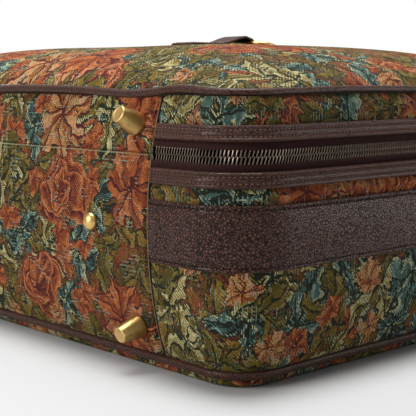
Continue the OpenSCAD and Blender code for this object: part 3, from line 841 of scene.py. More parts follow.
def row_stitches(points, normals, thick):
    """Stitches along a polyline that has one point for each stitch end."""
    points = np.asarray(points, float)
    normals = np.broadcast_to(np.asarray(normals, float), points.shape)
    ahead = points[1:] - points[:-1]
    long = np.linalg.norm(ahead, axis=1)
    shape, faces = stitch_shape(long.mean() * 0.72, thick)
    ahead /= long[:, None]
    face = normals[1:] + normals[:-1]
    face /= np.linalg.norm(face, axis=1, keepdims=True)
    axes = np.stack([ahead, np.cross(face, ahead), face], 1)
    return copies(shape, faces, (points[1:] + points[:-1]) / 2, axes)


def levels():
    """Heights over the back piping of the strips' edges."""
    z, cloth_strip = sizes(), 9.75 * MM
    tray_top, lid_low = z.zip_level - z.zip_opening / 2, z.zip_level + z.zip_opening / 2
    tray_seam, lid_seam = tray_top - z.binding_width, lid_low + z.binding_width
    band_top = tray_seam - cloth_strip
    return SimpleNamespace(
        band_low=band_top - z.band_width, band_top=band_top,
        tray_seam=tray_seam, tray_sewn=tray_seam + SEW_IN, tray_top=tray_top,
        lid_low=lid_low, lid_sewn=lid_seam - SEW_IN, lid_seam=lid_seam)


def joint_place(name):
    """Y and Z of a joint's axis along X."""
    return next(joint for joint in frame["joints"] if joint["name"] == name)["pos_m"][1:]


class SUITCASE_OT_walls(Operator):
    """Padded tapestry side walls and the cloth over the base, swollen between their seams"""

    bl_idname = "suitcase.walls"
    bl_label = "Side walls and base cloth"

    def execute(self, context):
        z, at = sizes(), levels()
        zipped, base = rim("zipped"), rim("base")
        lid_end = z.depth - PIPE_SEAM
        seams = (0, at.band_low, at.band_top, at.tray_seam, at.tray_top, at.lid_seam, z.depth)
        wave = soft_wave(seams, 1.3 * MM)
        for name, low, high, body, rows in (
            ("tray_gusset", PIPE_SEAM, at.tray_sewn, "tray", 60),
            ("lid_gusset", at.lid_sewn, lid_end, "lid", 24),
        ):
            section = slab(low, high, -z.wall, 0.0, rows, SOFT_EDGE)
            made = strip(name + "_cloth", zipped, section, "tapestry", body, [name],
                         wave, (2.38, 1.37), True)
        wave = soft_wave((0, z.zip_level, z.depth), 0.0, lean_at_feet)
        for name, low, high, body, rows in (
            ("base_panel", PIPE_SEAM, z.zip_level - LAY, "tray", 50),
            ("lid_base_panel", z.zip_level + LAY, lid_end, "lid", 22),
        ):
            section = slab(low, high, -z.base_cloth, 0.0, rows, SOFT_EDGE)
            made = strip(name + "_cloth", base, section, "tapestry", body, [name],
                         wave, (3.62, 1.60))
            # Painted shadow in the side seams: dark cords where the crevice is in shade
            self.seams(name + "_painted_seam_shadows", low, high, body)
        return {"FINISHED"}

    def seams(self, name, low, high, body):
        """Dark cords sunk in the two seams between the base cloth and the side walls: a painted shadow, a
        dark sheet put where the crevice is only in shade.
        """
        z, turn = sizes(), turns(8)
        sunk, radius = 1.9 * MM, 0.80 * MM
        n, up = wall_section(np.linspace(low, high, 24), -sunk)
        path = np.column_stack([-z.height / 2 - n, up])
        cord = radius * np.column_stack([np.cos(turn), np.sin(turn)])
        parts = [loft(at_x(side * z.seam, path), ACROSS, cord) for side in (-1, 1)]
        piece(name, merged(parts), "dark_thread_and_painted_shade", body)


class SUITCASE_OT_panels(Operator):
    """Crowned lid, rolled back panel and the pad inside it"""

    bl_idname = "suitcase.panels"
    bl_label = "Lid and back"

    def execute(self, context):
        edge = outline(PIPE_SEAM)
        plan, turn = fan(edge, 44), turns(len(edge))
        x, y = plan[..., 0], plan[..., 1]
        near = np.linalg.norm(edge[:, None, :] - plan, axis=-1)
        ripple = np.sin(turn * 61) + 0.8 * np.sin(turn * 97 + 1) + 0.6 * np.sin(turn * 149 + 2)
        pucker = 0.30 * MM * (1 + 0.5 * ripple)[:, None] * np.exp(-near / (9 * MM))
        sway = 0.8 * MM * np.sin(x * 21 + 1) * np.sin(y * 27 + 0.5) * (1 - np.exp(-near / (50 * MM)))
        groove = 1.2 * MM * bell(near, 2.6 * MM)
        upper = raised(plan, lid_height(x, y) - pucker - groove + sway)
        lower = upper[:, ::-1] - np.array([0, 0, sizes().panel])
        self.shell("lid_panel", upper, lower, "lid", (1.37, 2.12))
        self.back()
        return {"FINISHED"}

    def back(self):
        """Back panel whose edge drops steeply from the piping, and the foam pad in its dish."""
        z = sizes()
        flat = z.width / 2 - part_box("back_pad")[1].x
        drop = np.radians(np.linspace(0, 90, 14))
        middle = [outline(flat) * share for share in np.linspace(1, 0, 26)]
        faces = []
        for start, lift in ((PIPE_SEAM, 0.0), (PIPE_SEAM + z.panel, z.panel)):
            inset = start + (flat - start) * (1 - np.cos(drop) ** 0.5)
            height = BACK_Z * (1 - np.sin(drop) ** 0.5) + lift
            run = np.cumsum(np.hypot(np.diff(inset), np.diff(height))[::-1])[::-1]
            plan = [outline(flat - r) for r in run] + middle
            edge = [raised(outline(i), h) for i, h in zip(inset, height)]
            edge += [raised(shape, lift) for shape in middle[1:]]
            faces.append((np.stack(edge, 1), np.stack(plan, 1)))
        (under, under_plan), (over, over_plan) = faces
        plan = np.concatenate([under_plan[:, ::-1], over_plan], 1)
        self.shell("back_panel", under[:, ::-1], over, "tray", (0.21, 1.45), plan)
        self.pad(flat)

    def shell(self, node, first, second, body, shift, plan=None):
        """A closed padded shell from its two faces; plan lays the cloth out flat for the print."""
        points = np.concatenate([first, second], 1)
        plan = points[..., :2] if plan is None else plan
        shape = wrapped(points, plan + np.array(shift))
        piece(node + "_cloth", shape, "tapestry", body, [node])

    def pad(self, inset):
        """Foam pad with a softened upper edge."""
        low, high = (p.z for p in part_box("back_pad"))
        soft = 2 * MM
        rows = [(0.0, low), (0.9, low), (1.0, low), (1.0, low + soft), (1.0, high - soft)]
        rows += [(0.995, high - 0.6 * MM), (0.985, high), (0.5, high), (0.0, high)]
        points = np.stack([raised(outline(inset) * share, h) for share, h in rows], 1)
        shape = grid(points, None, True, False)
        piece("back_foam", shape, "padding", "tray", ["back_pad"])


class SUITCASE_OT_piping(Operator):
    """Leather piping round the lid and round the back"""

    bl_idname = "suitcase.piping"
    bl_label = "Piping"

    def execute(self, context):
        line, turn = rim("all", 4 * MM, 28), turns(20)
        bump = 0.045 * MM * (np.sin(line.run * 900) + np.sin(line.run * 571 + 1))
        crease = -0.38 * MM * bell(np.sin((turn + 0.1) / 2), 0.11)
        at_ends = np.clip((np.abs(line.points[:, 0]) - 205 * MM) / (35 * MM), 0, 1)
        for node, level, body, thinner in (
            ("back_piping", BACK_Z, "tray", 0.0),
            ("lid_piping", BACK_Z + sizes().depth, "lid", 0.8 * MM),
        ):
            slim = thinner * at_ends
            radius = PIPE_R + (bump - slim)[:, None] + crease[None, :]
            middle = level + self.sag(line, body)
            points = beside(line, radius * np.cos(turn), middle[:, None] + radius * np.sin(turn))
            piece(node + "_cord", grid(points, None, True, True), "trim", body, [node])
            # A painted shadow along the crevice beside each piping
            self.painted_crevice_shadow(node + "_painted_crevice_shadow", line, middle + slim, body)
        return {"FINISHED"}

    def painted_crevice_shadow(self, name, line, level, body):
        """Edge of the piping's sewn-in strip, coloured near black as a painted shadow of the crevice
        between the piping and the wall.
        """
        turn, radius, sunk = turns(8), 0.75 * MM, 0.35 * MM
        place = PIPE_R + sunk if body == "tray" else -PIPE_R - sunk
        points = beside(line, radius * np.cos(turn) - sunk, level[:, None] + place + radius * np.sin(turn))
        piece(name, grid(points, None, True, True), "dark_thread_and_painted_shade", body)

    def sag(self, line, body):
        """Rise and fall of the piping; the lid's sags by the feet and lifts at the corners beside them."""
        loose = 0.35 * MM * (np.sin(line.run * 17.0 + 1) + np.sin(line.run * 41.0))
        if body == "tray":
            return 1.0 * MM + 0.5 * loose
        x, by_feet = np.abs(line.points[:, 0]), line.points[:, 1] < 0
        dip = -2.0 * MM * bell(x - 150 * MM, 35 * MM)
        lift = 1.6 * MM * bell(x - 197 * MM, 22 * MM)
        return loose + by_feet * (dip + lift)


class SUITCASE_OT_band(Operator):
    """Wide leather band round three sides, with a stitched crease along each edge"""

    bl_idname = "suitcase.band"
    bl_label = "Leather band"

    def execute(self, context):
        z, at, line = sizes(), levels(), rim("zipped")
        inset, sunk, top = 2.6 * MM, 0.45 * MM, LAY + z.band_thick
        rows = (at.band_low + inset, at.band_top - inset)
        section = slab(at.band_low, at.band_top, LAY, top, 30, 1.1 * MM, rows)
        strip("leather_band_strip", line, section, "leather", "tray", ["leather_band"],
              tucked(2.6 * MM))
        sewn = [(height, top - sunk) for height in rows]
        wall_stitches("leather_band_stitches", line, sewn, z.stitch_pitch, 0.70 * MM,
                      "dark_thread_and_painted_shade", "tray")
        return {"FINISHED"}


class SUITCASE_OT_bindings(Operator):
    """Folded leather strips along the zip, each sewn with two rows"""

    bl_idname = "suitcase.bindings"
    bl_label = "Zip bindings"

    def execute(self, context):
        z, at = sizes(), levels()
        line = rim("zipped", z.stitch_pitch / 3, 60)
        top, row_inset, fold_inset = LAY + z.binding_thick, 0.30 * z.binding_width, 1.3 * MM
        for name, low, high, body in (
            ("tray_zip_binding", at.tray_seam, at.tray_top, "tray"),
            ("lid_zip_binding", at.lid_low, at.lid_seam, "lid"),
        ):
            rows = (low + row_inset, high - row_inset)
            height, out = slab(low, high, LAY, top, 18, 1.2 * MM, rows)
            fold = high - fold_inset if body == "tray" else low + fold_inset
            proud = np.clip((out - LAY) / z.binding_thick, 0, 1)
            out = out + 0.9 * MM * proud * bell(height - fold, 1.1 * MM)
            strip(name + "_strip", line, (height, out), "trim", body, [name],
                  tucked(END_TUCK, self.quilt(rows)))
            for kind, sunk, thick, finish, share, start in (
                ("_stitches", 0.5 * MM, 0.90 * MM, "thread", 0.70, 0.5),
                # Dark blobs at the stitch ends: painted shade in the stitch holes
                ("_painted_hole_shade", 1.35 * MM, 1.1 * MM, "dark_thread_and_painted_shade", 0.40, 0.0),
            ):
                sewn = [(place, top - sunk) for place in rows]
                wall_stitches(name + kind, line, sewn, z.stitch_pitch, thick,
                              finish, body, share, start)
        return {"FINISHED"}

    def quilt(self, rows):
        """The leather puckers a little from stitch to stitch."""

        def wave(run, height, total):
            pitch = even_pitch(total, sizes().stitch_pitch)[1]
            near = np.min(np.abs(height[..., None] - np.array(rows)), -1)
            return -0.22 * MM * np.cos((run - ROW_END) / pitch * math.tau) * bell(near, 1.3 * MM)

        return wave


class SUITCASE_OT_zip(Operator):
    """Zip tapes and two rows of interlocking metal teeth"""

    bl_idname = "suitcase.zip"
    bl_label = "Zip"

    def execute(self, context):
        z, at, line = sizes(), levels(), rim("zipped", 4 * MM)
        root, middle = z.chain / 2 + LAY, -1.6 * MM
        for name, sign, edge, body in (
            ("tray_zip", -1, at.tray_sewn, "tray"),
            ("lid_zip", 1, at.lid_sewn, "lid"),
        ):
            low, high = sorted((z.zip_level + sign * root, edge))
            height, out = slab(low, high, middle - 0.5 * MM, middle + 0.5 * MM, 16, 0.3 * MM)
            from_bead = height - z.zip_level - sign * (root + 0.8 * MM)
            out = out + np.sign(out - middle) * 0.25 * MM * bell(from_bead, 0.8 * MM)
            out = out - 0.8 * MM * np.clip((np.abs(from_bead) - 1.2 * MM) / (3 * MM), 0, 1)
            strip(name + "_tape_cloth", line, (height, out), "zip_tape", body, [name + "_tape"])
            self.teeth(name + "_teeth", sign, body)
        return {"FINISHED"}

    def teeth(self, node, sign, body):
        """One row of teeth, half a pitch apart from the other row."""
        z, line = sizes(), rim("zipped", 2 * MM, 40)
        ends, sunk = 3.2 * MM, 0.2 * MM
        count = int((line.total - 2 * ends) / z.tooth_pitch)
        pitch = (line.total - 2 * ends) / count
        plan, normal, along = line.at(ends + (np.arange(count) + (0.25 if sign > 0 else 0.75)) * pitch)
        front = wall_section(np.array(z.zip_level), np.array(0.0))[0] - sunk
        origins = raised(plan + normal * front, BACK_Z + z.zip_level)
        axes = np.stack([raised(along, 0.0), raised(normal, 0.0), np.tile([0.0, 0.0, sign], (count, 1))], 1)
        shape, faces = self.tooth(0.26 * sign)
        row = copies(shape, faces, origins, axes)
        piece(node + "_row", row, "dark_metal", body, [node], sharp=30)

    def tooth(self, lean):
        """One tooth: a leaning bar with a rounded front that narrows to its head."""
        thick, wide = sizes().tooth_thick, 1.35 * MM
        rows = ((-0.42, 0.42, 0.72), (-0.20, 0.80, 0.90), (0.9, 1.0, 1.0),
                (2.2, 0.92, 1.0), (3.7, 1.0, 0.96), (4.35, 0.85, 0.80))
        section = ((-0.5, -1.0), (-0.5, -0.24), (-0.34, -0.06), (0.0, 0.0),
                   (0.34, -0.06), (0.5, -0.24), (0.5, -1.0))
        points = []
        for up, w, d in rows:
            middle, sunk = lean * MM * up, (1 - d) * 0.35
            points.append([(wide * w * x + middle, thick * (y * d - sunk), up * MM) for x, y in section])
        return grid(np.array(points), None, False, True, True)[:2]


class SUITCASE_OT_hinge(Operator):
    """Pale stitch line across the base, where the lid hinges, and the lining strip behind it"""

    bl_idname = "suitcase.hinge"
    bl_label = "Hinge seam"

    def execute(self, context):
        z, base = sizes(), rim("base")
        pitch, thick, below, sunk = 2.3 * MM, 0.62 * MM, 1.3 * MM, 0.22 * MM
        rows = [(z.zip_level - below, -sunk)]
        wall_stitches("hinge_stitches", base, rows, pitch, thick, "hinge_thread", "tray")
        low, high = z.zip_level - 15 * MM, z.zip_level + 11.5 * MM
        inner, outer, bend = -4.9 * MM, -4.3 * MM, 3 * MM
        made = strip("hinge_lining", base, slab(low, high, inner, outer, 20), "lining", None)
        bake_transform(made)
        return {"FINISHED"}


class SUITCASE_OT_linings(Operator):
    """Lining inside the tray and the lid, hemmed at its free edges"""

    bl_idname = "suitcase.linings"
    bl_label = "Linings"

    def execute(self, context):
        z, at, line = sizes(), levels(), rim("all", 6 * MM)
        outer, hem, folded = -5.4 * MM, 10.5 * MM, 2.1 * MM
        tray_low, lid_end = z.panel + LAY, z.depth + 1.5 * MM
        for name, low, high, body, hem_low in (
            ("tray_lining", tray_low, at.tray_sewn, "tray", at.tray_sewn - hem),
            ("lid_lining", at.lid_sewn, lid_end, "lid", at.lid_sewn),
        ):
            section = slab(low, high, outer - z.lining, outer, 18)
            made = strip(name + "_wall", line, section, "lining", body, [name], self.slack)
            section = slab(hem_low, hem_low + hem, outer - folded, outer - z.lining, 10, SOFT_EDGE)
            made = strip(name + "_hem", line, section, "lining", body, (), self.slack)
        floor = fan(outline(7.2 * MM), 26)
        made = self.cloth("tray_lining_floor", floor, BACK_Z + tray_low + 0.5 * MM, "tray", ())
        top = fan(outline(6.4 * MM), 26)
        under_lid = lid_height(top[..., 0], top[..., 1]) - (z.panel + LAY + 0.5 * z.lining)
        made = self.cloth("lid_lining_cloth", top, under_lid, "lid", ["lid_lining_panel"])
        return {"FINISHED"}

    def slack(self, run, height, total):
        """Loose waves of the lining's walls, whole ones round the case."""
        once = math.tau / total
        return 0.45 * MM * (np.sin(once * 17 * run + height * 40) + 0.6 * np.sin(once * 41 * run))

    def cloth(self, name, plan, level, body, nodes):
        """A thin, slightly wavy cloth over plan points."""
        middle = level + 0.25 * MM * np.sin(plan[..., 0] * 60) * np.sin(plan[..., 1] * 47)
        half = sizes().lining / 2
        points = np.concatenate([raised(plan, middle + half), raised(plan, middle - half)[:, ::-1]], 1)
        return piece(name, wrapped(points, points[..., :2]), "lining", body, nodes)


class SUITCASE_OT_feet(Operator):
    """Turned brass feet and domed studs on the base"""

    bl_idname = "suitcase.feet"
    bl_label = "Feet and studs"

    def execute(self, context):
        z = sizes()
        self.pair("base_feet", z.foot_x, z.foot_edge, "tray", self.foot(), 0.0)
        self.pair("lid_feet", z.foot_x, z.depth - z.foot_edge, "lid", self.foot(), z.foot_lean)
        self.pair("base_studs", z.stud_x, z.depth / 2, "tray", self.stud(), 0.0)
        return {"FINISHED"}

    def foot(self):
        """Profile in mm of a tapered foot with a bevel round its slightly dished tip."""
        turn = np.radians(np.arange(0, 91, 15))
        tip = [(5.50 - 0.9 * (1 - math.cos(a)), 17.0 + 0.9 * math.sin(a)) for a in turn]
        collar = [(0.0, 0.2), (7.4, 0.2), (7.75, 0.35), (7.95, 0.7), (8.0, 1.2), (7.98, 2.0), (7.9, 2.5)]
        return collar + tip + [(4.2, 17.82), (3.7, 17.68), (2.0, 17.64), (0.0, 17.64)]

    def stud(self):
        """Profile in mm of a domed stud on a thin flange."""
        turn = np.radians(np.arange(0, 90, 6))
        dome = [(6.2 * math.cos(a), 0.9 + 4.7 * math.sin(a)) for a in turn]
        return [(0.0, 0.2), (5.9, 0.2), (6.2, 0.45)] + dome + [(0.0, 5.6)]

    def pair(self, node, x, height, body, profile, lean):
        """The same turned piece on both sides of the base."""
        n, up = wall_section(np.array(height), np.array(0.0))
        tilt = math.asin((height - sizes().depth / 2) / arc_radius()) + lean
        axis = (0, -math.cos(tilt), math.sin(tilt))
        place = -sizes().height / 2 - float(n), float(up)
        turned = [lathe(np.array(profile) * MM, (side * x, *place), axis) for side in (-1, 1)]
        piece(node + "_turned", merged(turned), "brass", body, [node], sharp=32)


class SUITCASE_OT_handle(Operator):
    """Rolled leather grip, its eyes, and the chapes that hold its rings"""

    bl_idname = "suitcase.handle"
    bl_label = "Handle"

    def execute(self, context):
        self.y, self.z = joint_place("handle_pivot")
        self.strap_wide, self.strap_edge = 18 * MM, 0.8 * MM
        self.bow = 2 * MM + RING_PLAY + LOOP / 2
        self.grip_piece()
        self.chapes()
        return {"FINISHED"}

    def grip_piece(self):
        """Grip that hangs from its two rings, with the eyes round them and the seam along it."""
        z = sizes()
        arm, half = 2 * z.grip, z.handle_span / 2
        drop, ring_drop, tip, taper = 44 * MM, 14 * MM, 2 * MM, 15 * MM
        bend, top = drop - arm, self.z - ring_drop
        down = [(half, top - tip - (arm - tip) * t) for t in np.linspace(0, 1, 10)[:-1]]
        turn = arc((half - bend, top - arm), bend, 0, -90, 18).tolist()
        side = [(half - bend - (half - bend) * t, top - arm - bend) for t in np.linspace(0, 1, 12)[1:]]
        right = down + turn + side
        flat = np.array(right + [(-x, h) for x, h in right[-2::-1]])
        path = np.insert(flat, 1, self.y, 1)
        run = np.concatenate([[0], np.cumsum(np.linalg.norm(np.diff(path, axis=0), axis=1))])
        grow = np.clip((np.minimum(run, run[-1] - run) - tip) / taper, 0, 1)
        grow = grow * grow * (3 - 2 * grow)
        deep, wide = (thin + (z.grip - thin) * grow[:, None] for thin in (2.4 * MM, 7 * MM))
        angle = turns(28)
        seam = 1 - 0.10 * bell(np.sin((angle - math.pi / 2) / 2), 0.09)
        section = np.stack([deep * np.cos(angle) * seam, wide * np.sin(angle) * seam], -1)
        strap = round_rect(self.strap_wide - 2 * MM, LOOP, self.strap_edge)
        eye = arc((self.y, top), self.bow, -62, 242, 26)
        parts = [loft(path, (0, 1, 0), section)]
        parts += [loft(at_x(side * half, eye), ACROSS, strap) for side in (-1, 1)]
        piece("handle_grip_rolled", merged(parts), "trim", "handle", ["handle_grip"])
        plain, pitch = 18 * MM, 3.2 * MM
        sewn = np.arange(plain, run[-1] - plain, pitch)
        place = np.column_stack([np.interp(sewn, run, path[:, k]) for k in range(3)])
        ahead = np.gradient(place, axis=0)
        out = np.cross((0, 1, 0), ahead / np.linalg.norm(ahead, axis=1, keepdims=True))
        row = row_stitches(place + out * (z.grip * 0.91), out, 0.7 * MM)
        piece("handle_grip_stitches", row, "thread", "handle", sharp=70)

    def chapes(self):
        """Straps sewn on the band, each with a loop for a ring."""
        z, at = sizes(), levels()
        parts, sewn, inset = [], [], 2 * MM
        height = np.linspace(at.band_low + inset, at.band_top - inset, 24)
        lower_row, upper_row = slice(1, 10), slice(14, 23)
        out = 2 * LAY + z.band_thick + LOOP / 2
        sections = (wall_section(height, place) for place in (out, out + LOOP / 2))
        middle, face = (np.column_stack([z.height / 2 + n, up]) for n, up in sections)
        strap = round_rect(self.strap_wide, LOOP, self.strap_edge)
        foot = z.height / 2 + z.bulge + out + LOOP / 2
        neck = [(foot, self.z + 2.6 * MM), (foot + 1.2 * MM, self.z + 1.9 * MM)]
        ring = arc((self.y, self.z), self.bow, 125, -125, 22).tolist()
        loop = np.array(neck + ring + [(y, 2 * self.z - h) for y, h in neck[::-1]])
        for side in (-1, 1):
            x = side * z.handle_span / 2
            parts += [loft(at_x(x, flat), ACROSS, strap) for flat in (middle, loop)]
            for edge in (-1, 1):
                row = at_x(x + edge * (self.strap_wide / 2 - inset), face)
                sewn += [row_stitches(row[part], (0, 1, 0), 0.6 * MM) for part in (lower_row, upper_row)]
        piece("handle_chapes_leather", merged(parts), "trim", "tray", ["handle_chapes"])
        piece("handle_chape_stitches", merged(sewn), "thread", "tray", sharp=70)


class SUITCASE_OT_lid_loop(Operator):
    """Folded leather loop on the lid that holds a brass ring"""

    bl_idname = "suitcase.lid_loop"
    bl_label = "Lid loop"

    def execute(self, context):
        low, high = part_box("lid_tab")
        eye_y, eye_z = joint_place("lid_ring_pivot")
        start, long, wide = low.y, high.y - low.y, high.x - low.x
        t = np.linspace(0, 0.86, 34)
        y = start + long * t
        hump = np.where(t < 0.45, 0, np.sin(math.pi * (t - 0.45) / 0.9) ** 2)
        rest = lid_height(0 * y, y) + 0.6 * MM
        over = np.column_stack([y, rest + TAB / 2 + hump * 7.2 * MM + 0.9 * MM * (t > 0.02)])
        eye = arc((eye_y, eye_z), 1.8 * MM + RING_PLAY + TAB / 2, 80, -90, 18)
        back = np.linspace(eye_y - 3 * MM, start + 0.34 * long, 16)
        under = np.column_stack([back, lid_height(0 * back, back) + 0.5 * MM + TAB / 2])
        path = at_x(0.0, np.concatenate([over, eye, under]))
        strap = loft(path, ACROSS, round_rect(wide, TAB * 0.92, 0.9 * MM))
        piece("lid_tab_strap", strap, "trim", "lid", ["lid_tab"])
        inset = wide / 2 - 2.4 * MM
        rows = np.arange(start + 3 * MM, start + 0.44 * long, 3.1 * MM)
        top = np.interp(rows, over[:, 0], over[:, 1]) + TAB * 0.46
        cross = np.arange(-inset, wide / 2 - 1.6 * MM, 3.0 * MM)
        lines = [at_x(x, np.column_stack([rows, top])) for x in (-inset, inset)]
        lines += [np.insert(np.full((len(cross), 2), (rows[k], top[k])), 0, cross, 1) for k in (0, -1)]
        sewn = merged([row_stitches(line, (0, 0, 1), 0.6 * MM) for line in lines])
        piece("lid_tab_stitches", sewn, "thread", "lid", sharp=70)
        return {"FINISHED"}


class SUITCASE_OT_sliders(Operator):
    """Zip sliders with their posts, and the leather pulls"""

    bl_idname = "suitcase.sliders"
    bl_label = "Sliders and pulls"

    def execute(self, context):
        for side in ("right", "left"):
            self.slider(side)
            self.pull(side)
        return {"FINISHED"}

    def slider(self, side):
        """Two plates joined by a thin web, and the post that carries the link."""
        low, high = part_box(side + "_slider")
        x, up = (low.x + high.x) / 2, (low.z + high.z) / 2
        long, tall, back = high.x - low.x, high.z - low.z, low.y
        thick, rear_thick, web, web_lap, post_tall = 2.4 * MM, 1.2 * MM, 0.25 * MM, 0.8 * MM, 7.4 * MM
        front = high.y - post_tall - thick
        nose = 1 if side == "right" else -1
        half = [(-0.5, 0.34), (-0.42, 0.44), (-0.2, 0.5), (0.2, 0.5), (0.42, 0.42), (0.5, 0.28)]
        ring = half + [(a, -b) for a, b in half[::-1]]
        shape = np.array([(x - nose * a * long, up + b * tall) for a, b in ring])[::nose]
        box = np.array([(x + a * long / 4, up + b * web) for a, b in ((-1, -1), (1, -1), (1, 1), (-1, 1))])
        post = [(0.0, -1.0), (2.3, -1.0), (2.3, 0.3), (1.5, 0.9), (1.5, 6.4),
                (2.5, 6.45), (2.6, 6.7), (2.5, 7.1), (1.9, 7.38), (0.0, 7.4)]
        parts = [
            plate(shape, front, front + thick, 0.7 * MM),
            plate(shape, back, back + rear_thick, 0.35 * MM),
            plate(box, back + web_lap, front + web_lap, 0.05 * MM),
            lathe(np.array(post) * MM, (x, front + thick, up), (0, 1, 0), 28),
        ]
        body = side + "_slider"
        piece(body + "_body", merged(parts), "dark_metal", body, [body])

    def pull(self, side):
        """Two leather layers with a filling between them, sewn along the edge."""
        body, (low, high) = side + "_pull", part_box(side + "_pull_tab")
        x, half, cut = (low.x + high.x) / 2, (high.x - low.x) / 2, 1 * MM
        foot = arc((x, low.z + half), half, 180, 360, 18)
        shape = np.concatenate([foot, [(x + half, high.z - cut), (x + half - cut, high.z),
                                       (x - half + cut, high.z), (x - half, high.z - cut)]])
        middle, slot, lap = (low.y + high.y) / 2, 1.1 * MM + RING_PLAY, 0.1 * MM
        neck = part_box(side + "_pull_link")[0].z - 1.2 * MM
        parts = [
            plate(np.minimum(shape, (np.inf, neck)), middle - slot - lap, middle + slot + lap, 0.05 * MM),
            plate(shape, low.y, middle - slot, 0.35 * MM),
            plate(shape, middle + slot, high.y, 0.35 * MM),
        ]
        piece(body + "_leather", merged(parts), "trim", body, [side + "_pull_tab"])
        inset = half - 1.3 * MM
        down = np.linspace(neck - 2 * MM, low.z + half, 5)
        bend = arc((x, low.z + half), inset, 180, 360, 9)[1:-1].tolist()
        line = [(x - inset, h) for h in down] + bend + [(x + inset, h) for h in down[::-1]]
        row = row_stitches(np.insert(np.array(line), 1, high.y - 0.05 * MM, 1), (0, 1, 0), 0.5 * MM)
        piece(body + "_stitches", row, "thread", body, sharp=70)


class SUITCASE_OT_hardware(Operator):
    """Finishes for the CAD parts that stay as they are: rings, links, stops, nuts and boards"""

    bl_idname = "suitcase.hardware"
    bl_label = "Rings, links, stops and boards"

    def execute(self, context):
        kept = {
            "brass": ("base_nuts", "lid_nuts", "handle_rings", "lid_ring",
                      "right_pull_link", "left_pull_link"),
            "dark_metal": ("tray_zip_stops", "lid_zip_stops"),
            "board": ("base_board", "lid_base_board"),
        }
        for finish, names in kept.items():
            for name in names:
                mesh = frame["nodes"][name].data
                mesh.materials.clear()
                mesh.materials.append(finish_of(finish))
                mesh.shade_smooth()
                mesh.set_sharp_from_angle(angle=math.radians(35))
        return {"FINISHED"}


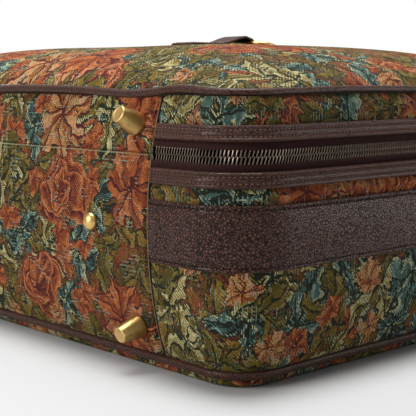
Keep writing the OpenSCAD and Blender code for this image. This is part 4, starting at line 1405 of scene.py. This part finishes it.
class SUITCASE_OT_stage(Operator):
    """Pale floor, white surround, soft lights and the camera"""

    bl_idname = "suitcase.stage"
    bl_label = "Stage"

    def execute(self, context):
        scene = context.scene
        scene.view_settings.view_transform = "Standard"
        self.floor()
        self.world(scene)
        self.lamp("key", (-0.3, -2.1, 0.95), (0.0, -0.1, 0.08), 1.2, 1.4, 33)
        self.lamp("top", (-0.1, 0.1, 1.9), (0.0, 0.0, 0.1), 1.2, 1.2, 60)
        self.lamp("side", (1.7, 1.35, 0.62), (0.25, 0.0, 0.1), 1.2, 0.8, 6.2)
        self.camera(scene)
        return {"FINISHED"}

    def floor(self):
        """Floor that fades to white. Near the case its lit surface mostly gives way to a flat glow, painted
        light over the case's shadow, darker towards the right as a painted shade; mirrored in leather and
        metal it is dim in front and glows bright behind, a painted reflection.
        """
        finish, z, half = Finish("studio_floor"), sizes(), 12.0
        finish.surface(colours().floor, 0.55, Specular_IOR_Level=0.2)
        x, y, _ = finish.split(finish.place())
        far = finish.smooth(finish.math("SQRT", x * x + y * y), 0.42, 1.7)
        sides = ((x, z.width), (y, z.height))
        beside_case = [finish.math("MAXIMUM", abs(p) - size / 2, 0.0) for p, size in sides]
        away = finish.math("SQRT", beside_case[0] * beside_case[0] + beside_case[1] * beside_case[1])
        # Near the case three quarters of the lit floor give way to the flat glow, painted light that fills
        # in the case's shadow; further out the glow is the white backdrop
        backdrop_and_painted_fill = finish.math("MAXIMUM", finish.smooth(away, 0.002, 0.055) * 0.75, far)
        # Near the case the glow is darker towards the right: a painted shade
        level = 0.86 + 0.14 * far - 0.14 * finish.smooth(x, 0.2, 0.5) * (1 - far)
        rays = ("Is Camera Ray", "Is Glossy Ray", "Is Transmission Ray")
        camera, glossy, through = (finish.node("LightPath", None, None, name) for name in rays)
        # Glossy rays see the floor glow brighter behind the case: a painted reflection that gives the
        # leather its sheen towards the far end
        behind = finish.smooth(y, 0.15, 0.80)
        seen = finish.math("MINIMUM", camera + glossy * (0.2 + 0.8 * behind) + through, 1.0)
        level = level + glossy * behind * 2.2
        glow = finish.node("Emission", None, {"Color": finish.grey(level), "Strength": 1.0})
        shader = Value(finish, finish.shader.outputs[0])
        mixed = finish.node("MixShader", None, {0: backdrop_and_painted_fill * seen, 1: shader, 2: glow})
        finish.feed(finish.tree.nodes["Material Output"].inputs["Surface"], mixed)
        mesh = bpy.data.meshes.new("floor")
        corners = [(-half, -half, 0), (half, -half, 0), (half, half, 0), (-half, half, 0)]
        mesh.from_pydata(corners, [], [(0, 1, 2, 3)])
        mesh.materials.append(finish.material)
        made = bpy.data.objects.new("floor", mesh)
        made.location.z = -0.2 * MM
        bpy.context.scene.collection.objects.link(made)

    def world(self, scene):
        """Weak white light all round; the camera sees full white, and glossy rays a share of it."""
        world = bpy.data.worlds.new("studio")
        world.use_nodes = True
        nodes, links = world.node_tree.nodes, world.node_tree.links
        path, white, mixed, share = (
            nodes.new("ShaderNode" + kind) for kind in ("LightPath", "Background", "MixShader", "Math"))
        ground = nodes["Background"]
        for shader, strength in ((ground, 0.06), (white, 1.0)):
            shader.inputs["Color"].default_value = (1, 1, 1, 1)
            shader.inputs["Strength"].default_value = strength
        share.operation, share.inputs[1].default_value = "MULTIPLY_ADD", 0.45
        for start, end in (
            (path.outputs["Is Glossy Ray"], share.inputs[0]),
            (path.outputs["Is Camera Ray"], share.inputs[2]),
            (share.outputs[0], mixed.inputs[0]),
            (ground.outputs[0], mixed.inputs[1]),
            (white.outputs[0], mixed.inputs[2]),
            (mixed.outputs[0], nodes["World Output"].inputs["Surface"]),
        ):
            links.new(start, end)
        scene.world = world

    def lamp(self, name, place, aim, wide, tall, power):
        """Area lamp turned towards a point."""
        data = bpy.data.lights.new(name, "AREA")
        data.shape, data.size, data.size_y, data.energy = "RECTANGLE", wide, tall, power
        made = bpy.data.objects.new(name, data)
        made.location = place
        made.rotation_euler = (Vector(aim) - Vector(place)).to_track_quat("-Z", "Y").to_euler()
        bpy.context.scene.collection.objects.link(made)

    def camera(self, scene):
        """Camera before the corner of the base and the right-hand end, as in the photograph."""
        z = sizes()
        data = bpy.data.cameras.new("camera")
        data.sensor_width, data.lens = 36.0, 93.67
        data.clip_start, data.clip_end = 0.01, 50
        made = bpy.data.objects.new("camera", data)
        place = Vector((z.width / 2 + 0.4586, -z.height / 2 - 0.4407, BACK_Z + 0.1833))
        turn = Vector((-0.7353, 0.6670, -0.1201)).to_track_quat("-Z", "Y").to_matrix()
        roll = Matrix.Rotation(math.radians(-0.241), 3, "Z")
        made.matrix_world = Matrix.Translation(place) @ (turn @ roll).to_4x4()
        scene.collection.objects.link(made)
        scene.camera = made


OPERATORS = (
    SUITCASE_OT_stage,
    SUITCASE_OT_walls,
    SUITCASE_OT_panels,
    SUITCASE_OT_piping,
    SUITCASE_OT_band,
    SUITCASE_OT_bindings,
    SUITCASE_OT_zip,
    SUITCASE_OT_hinge,
    SUITCASE_OT_linings,
    SUITCASE_OT_feet,
    SUITCASE_OT_handle,
    SUITCASE_OT_lid_loop,
    SUITCASE_OT_sliders,
    SUITCASE_OT_hardware,
)


class SUITCASE_PT_panel(Panel):
    """Buttons for the pieces of the case, and its sizes and colours"""

    bl_idname = "SUITCASE_PT_panel"
    bl_label = "Suitcase"
    bl_space_type = "VIEW_3D"
    bl_region_type = "UI"
    bl_category = "Suitcase"

    def draw(self, context):
        for operator in OPERATORS:
            self.layout.operator(operator.bl_idname)
        for group in (context.scene.suitcase_sizes, context.scene.suitcase_colours):
            column = self.layout.column()
            for name in group.__annotations__:
                column.prop(group, name)


CLASSES = (CaseSizes, CaseColours, *OPERATORS, SUITCASE_PT_panel)


def register():
    for cls in CLASSES:
        bpy.utils.register_class(cls)
    bpy.types.Scene.suitcase_sizes = PointerProperty(type=CaseSizes)
    bpy.types.Scene.suitcase_colours = PointerProperty(type=CaseColours)


def unregister():
    del bpy.types.Scene.suitcase_colours
    del bpy.types.Scene.suitcase_sizes
    for cls in reversed(CLASSES):
        bpy.utils.unregister_class(cls)


def main():
    register()
    for operator in OPERATORS:
        group, name = operator.bl_idname.split(".")
        getattr(getattr(bpy.ops, group), name)()


if __name__ == "__main__":
    main()
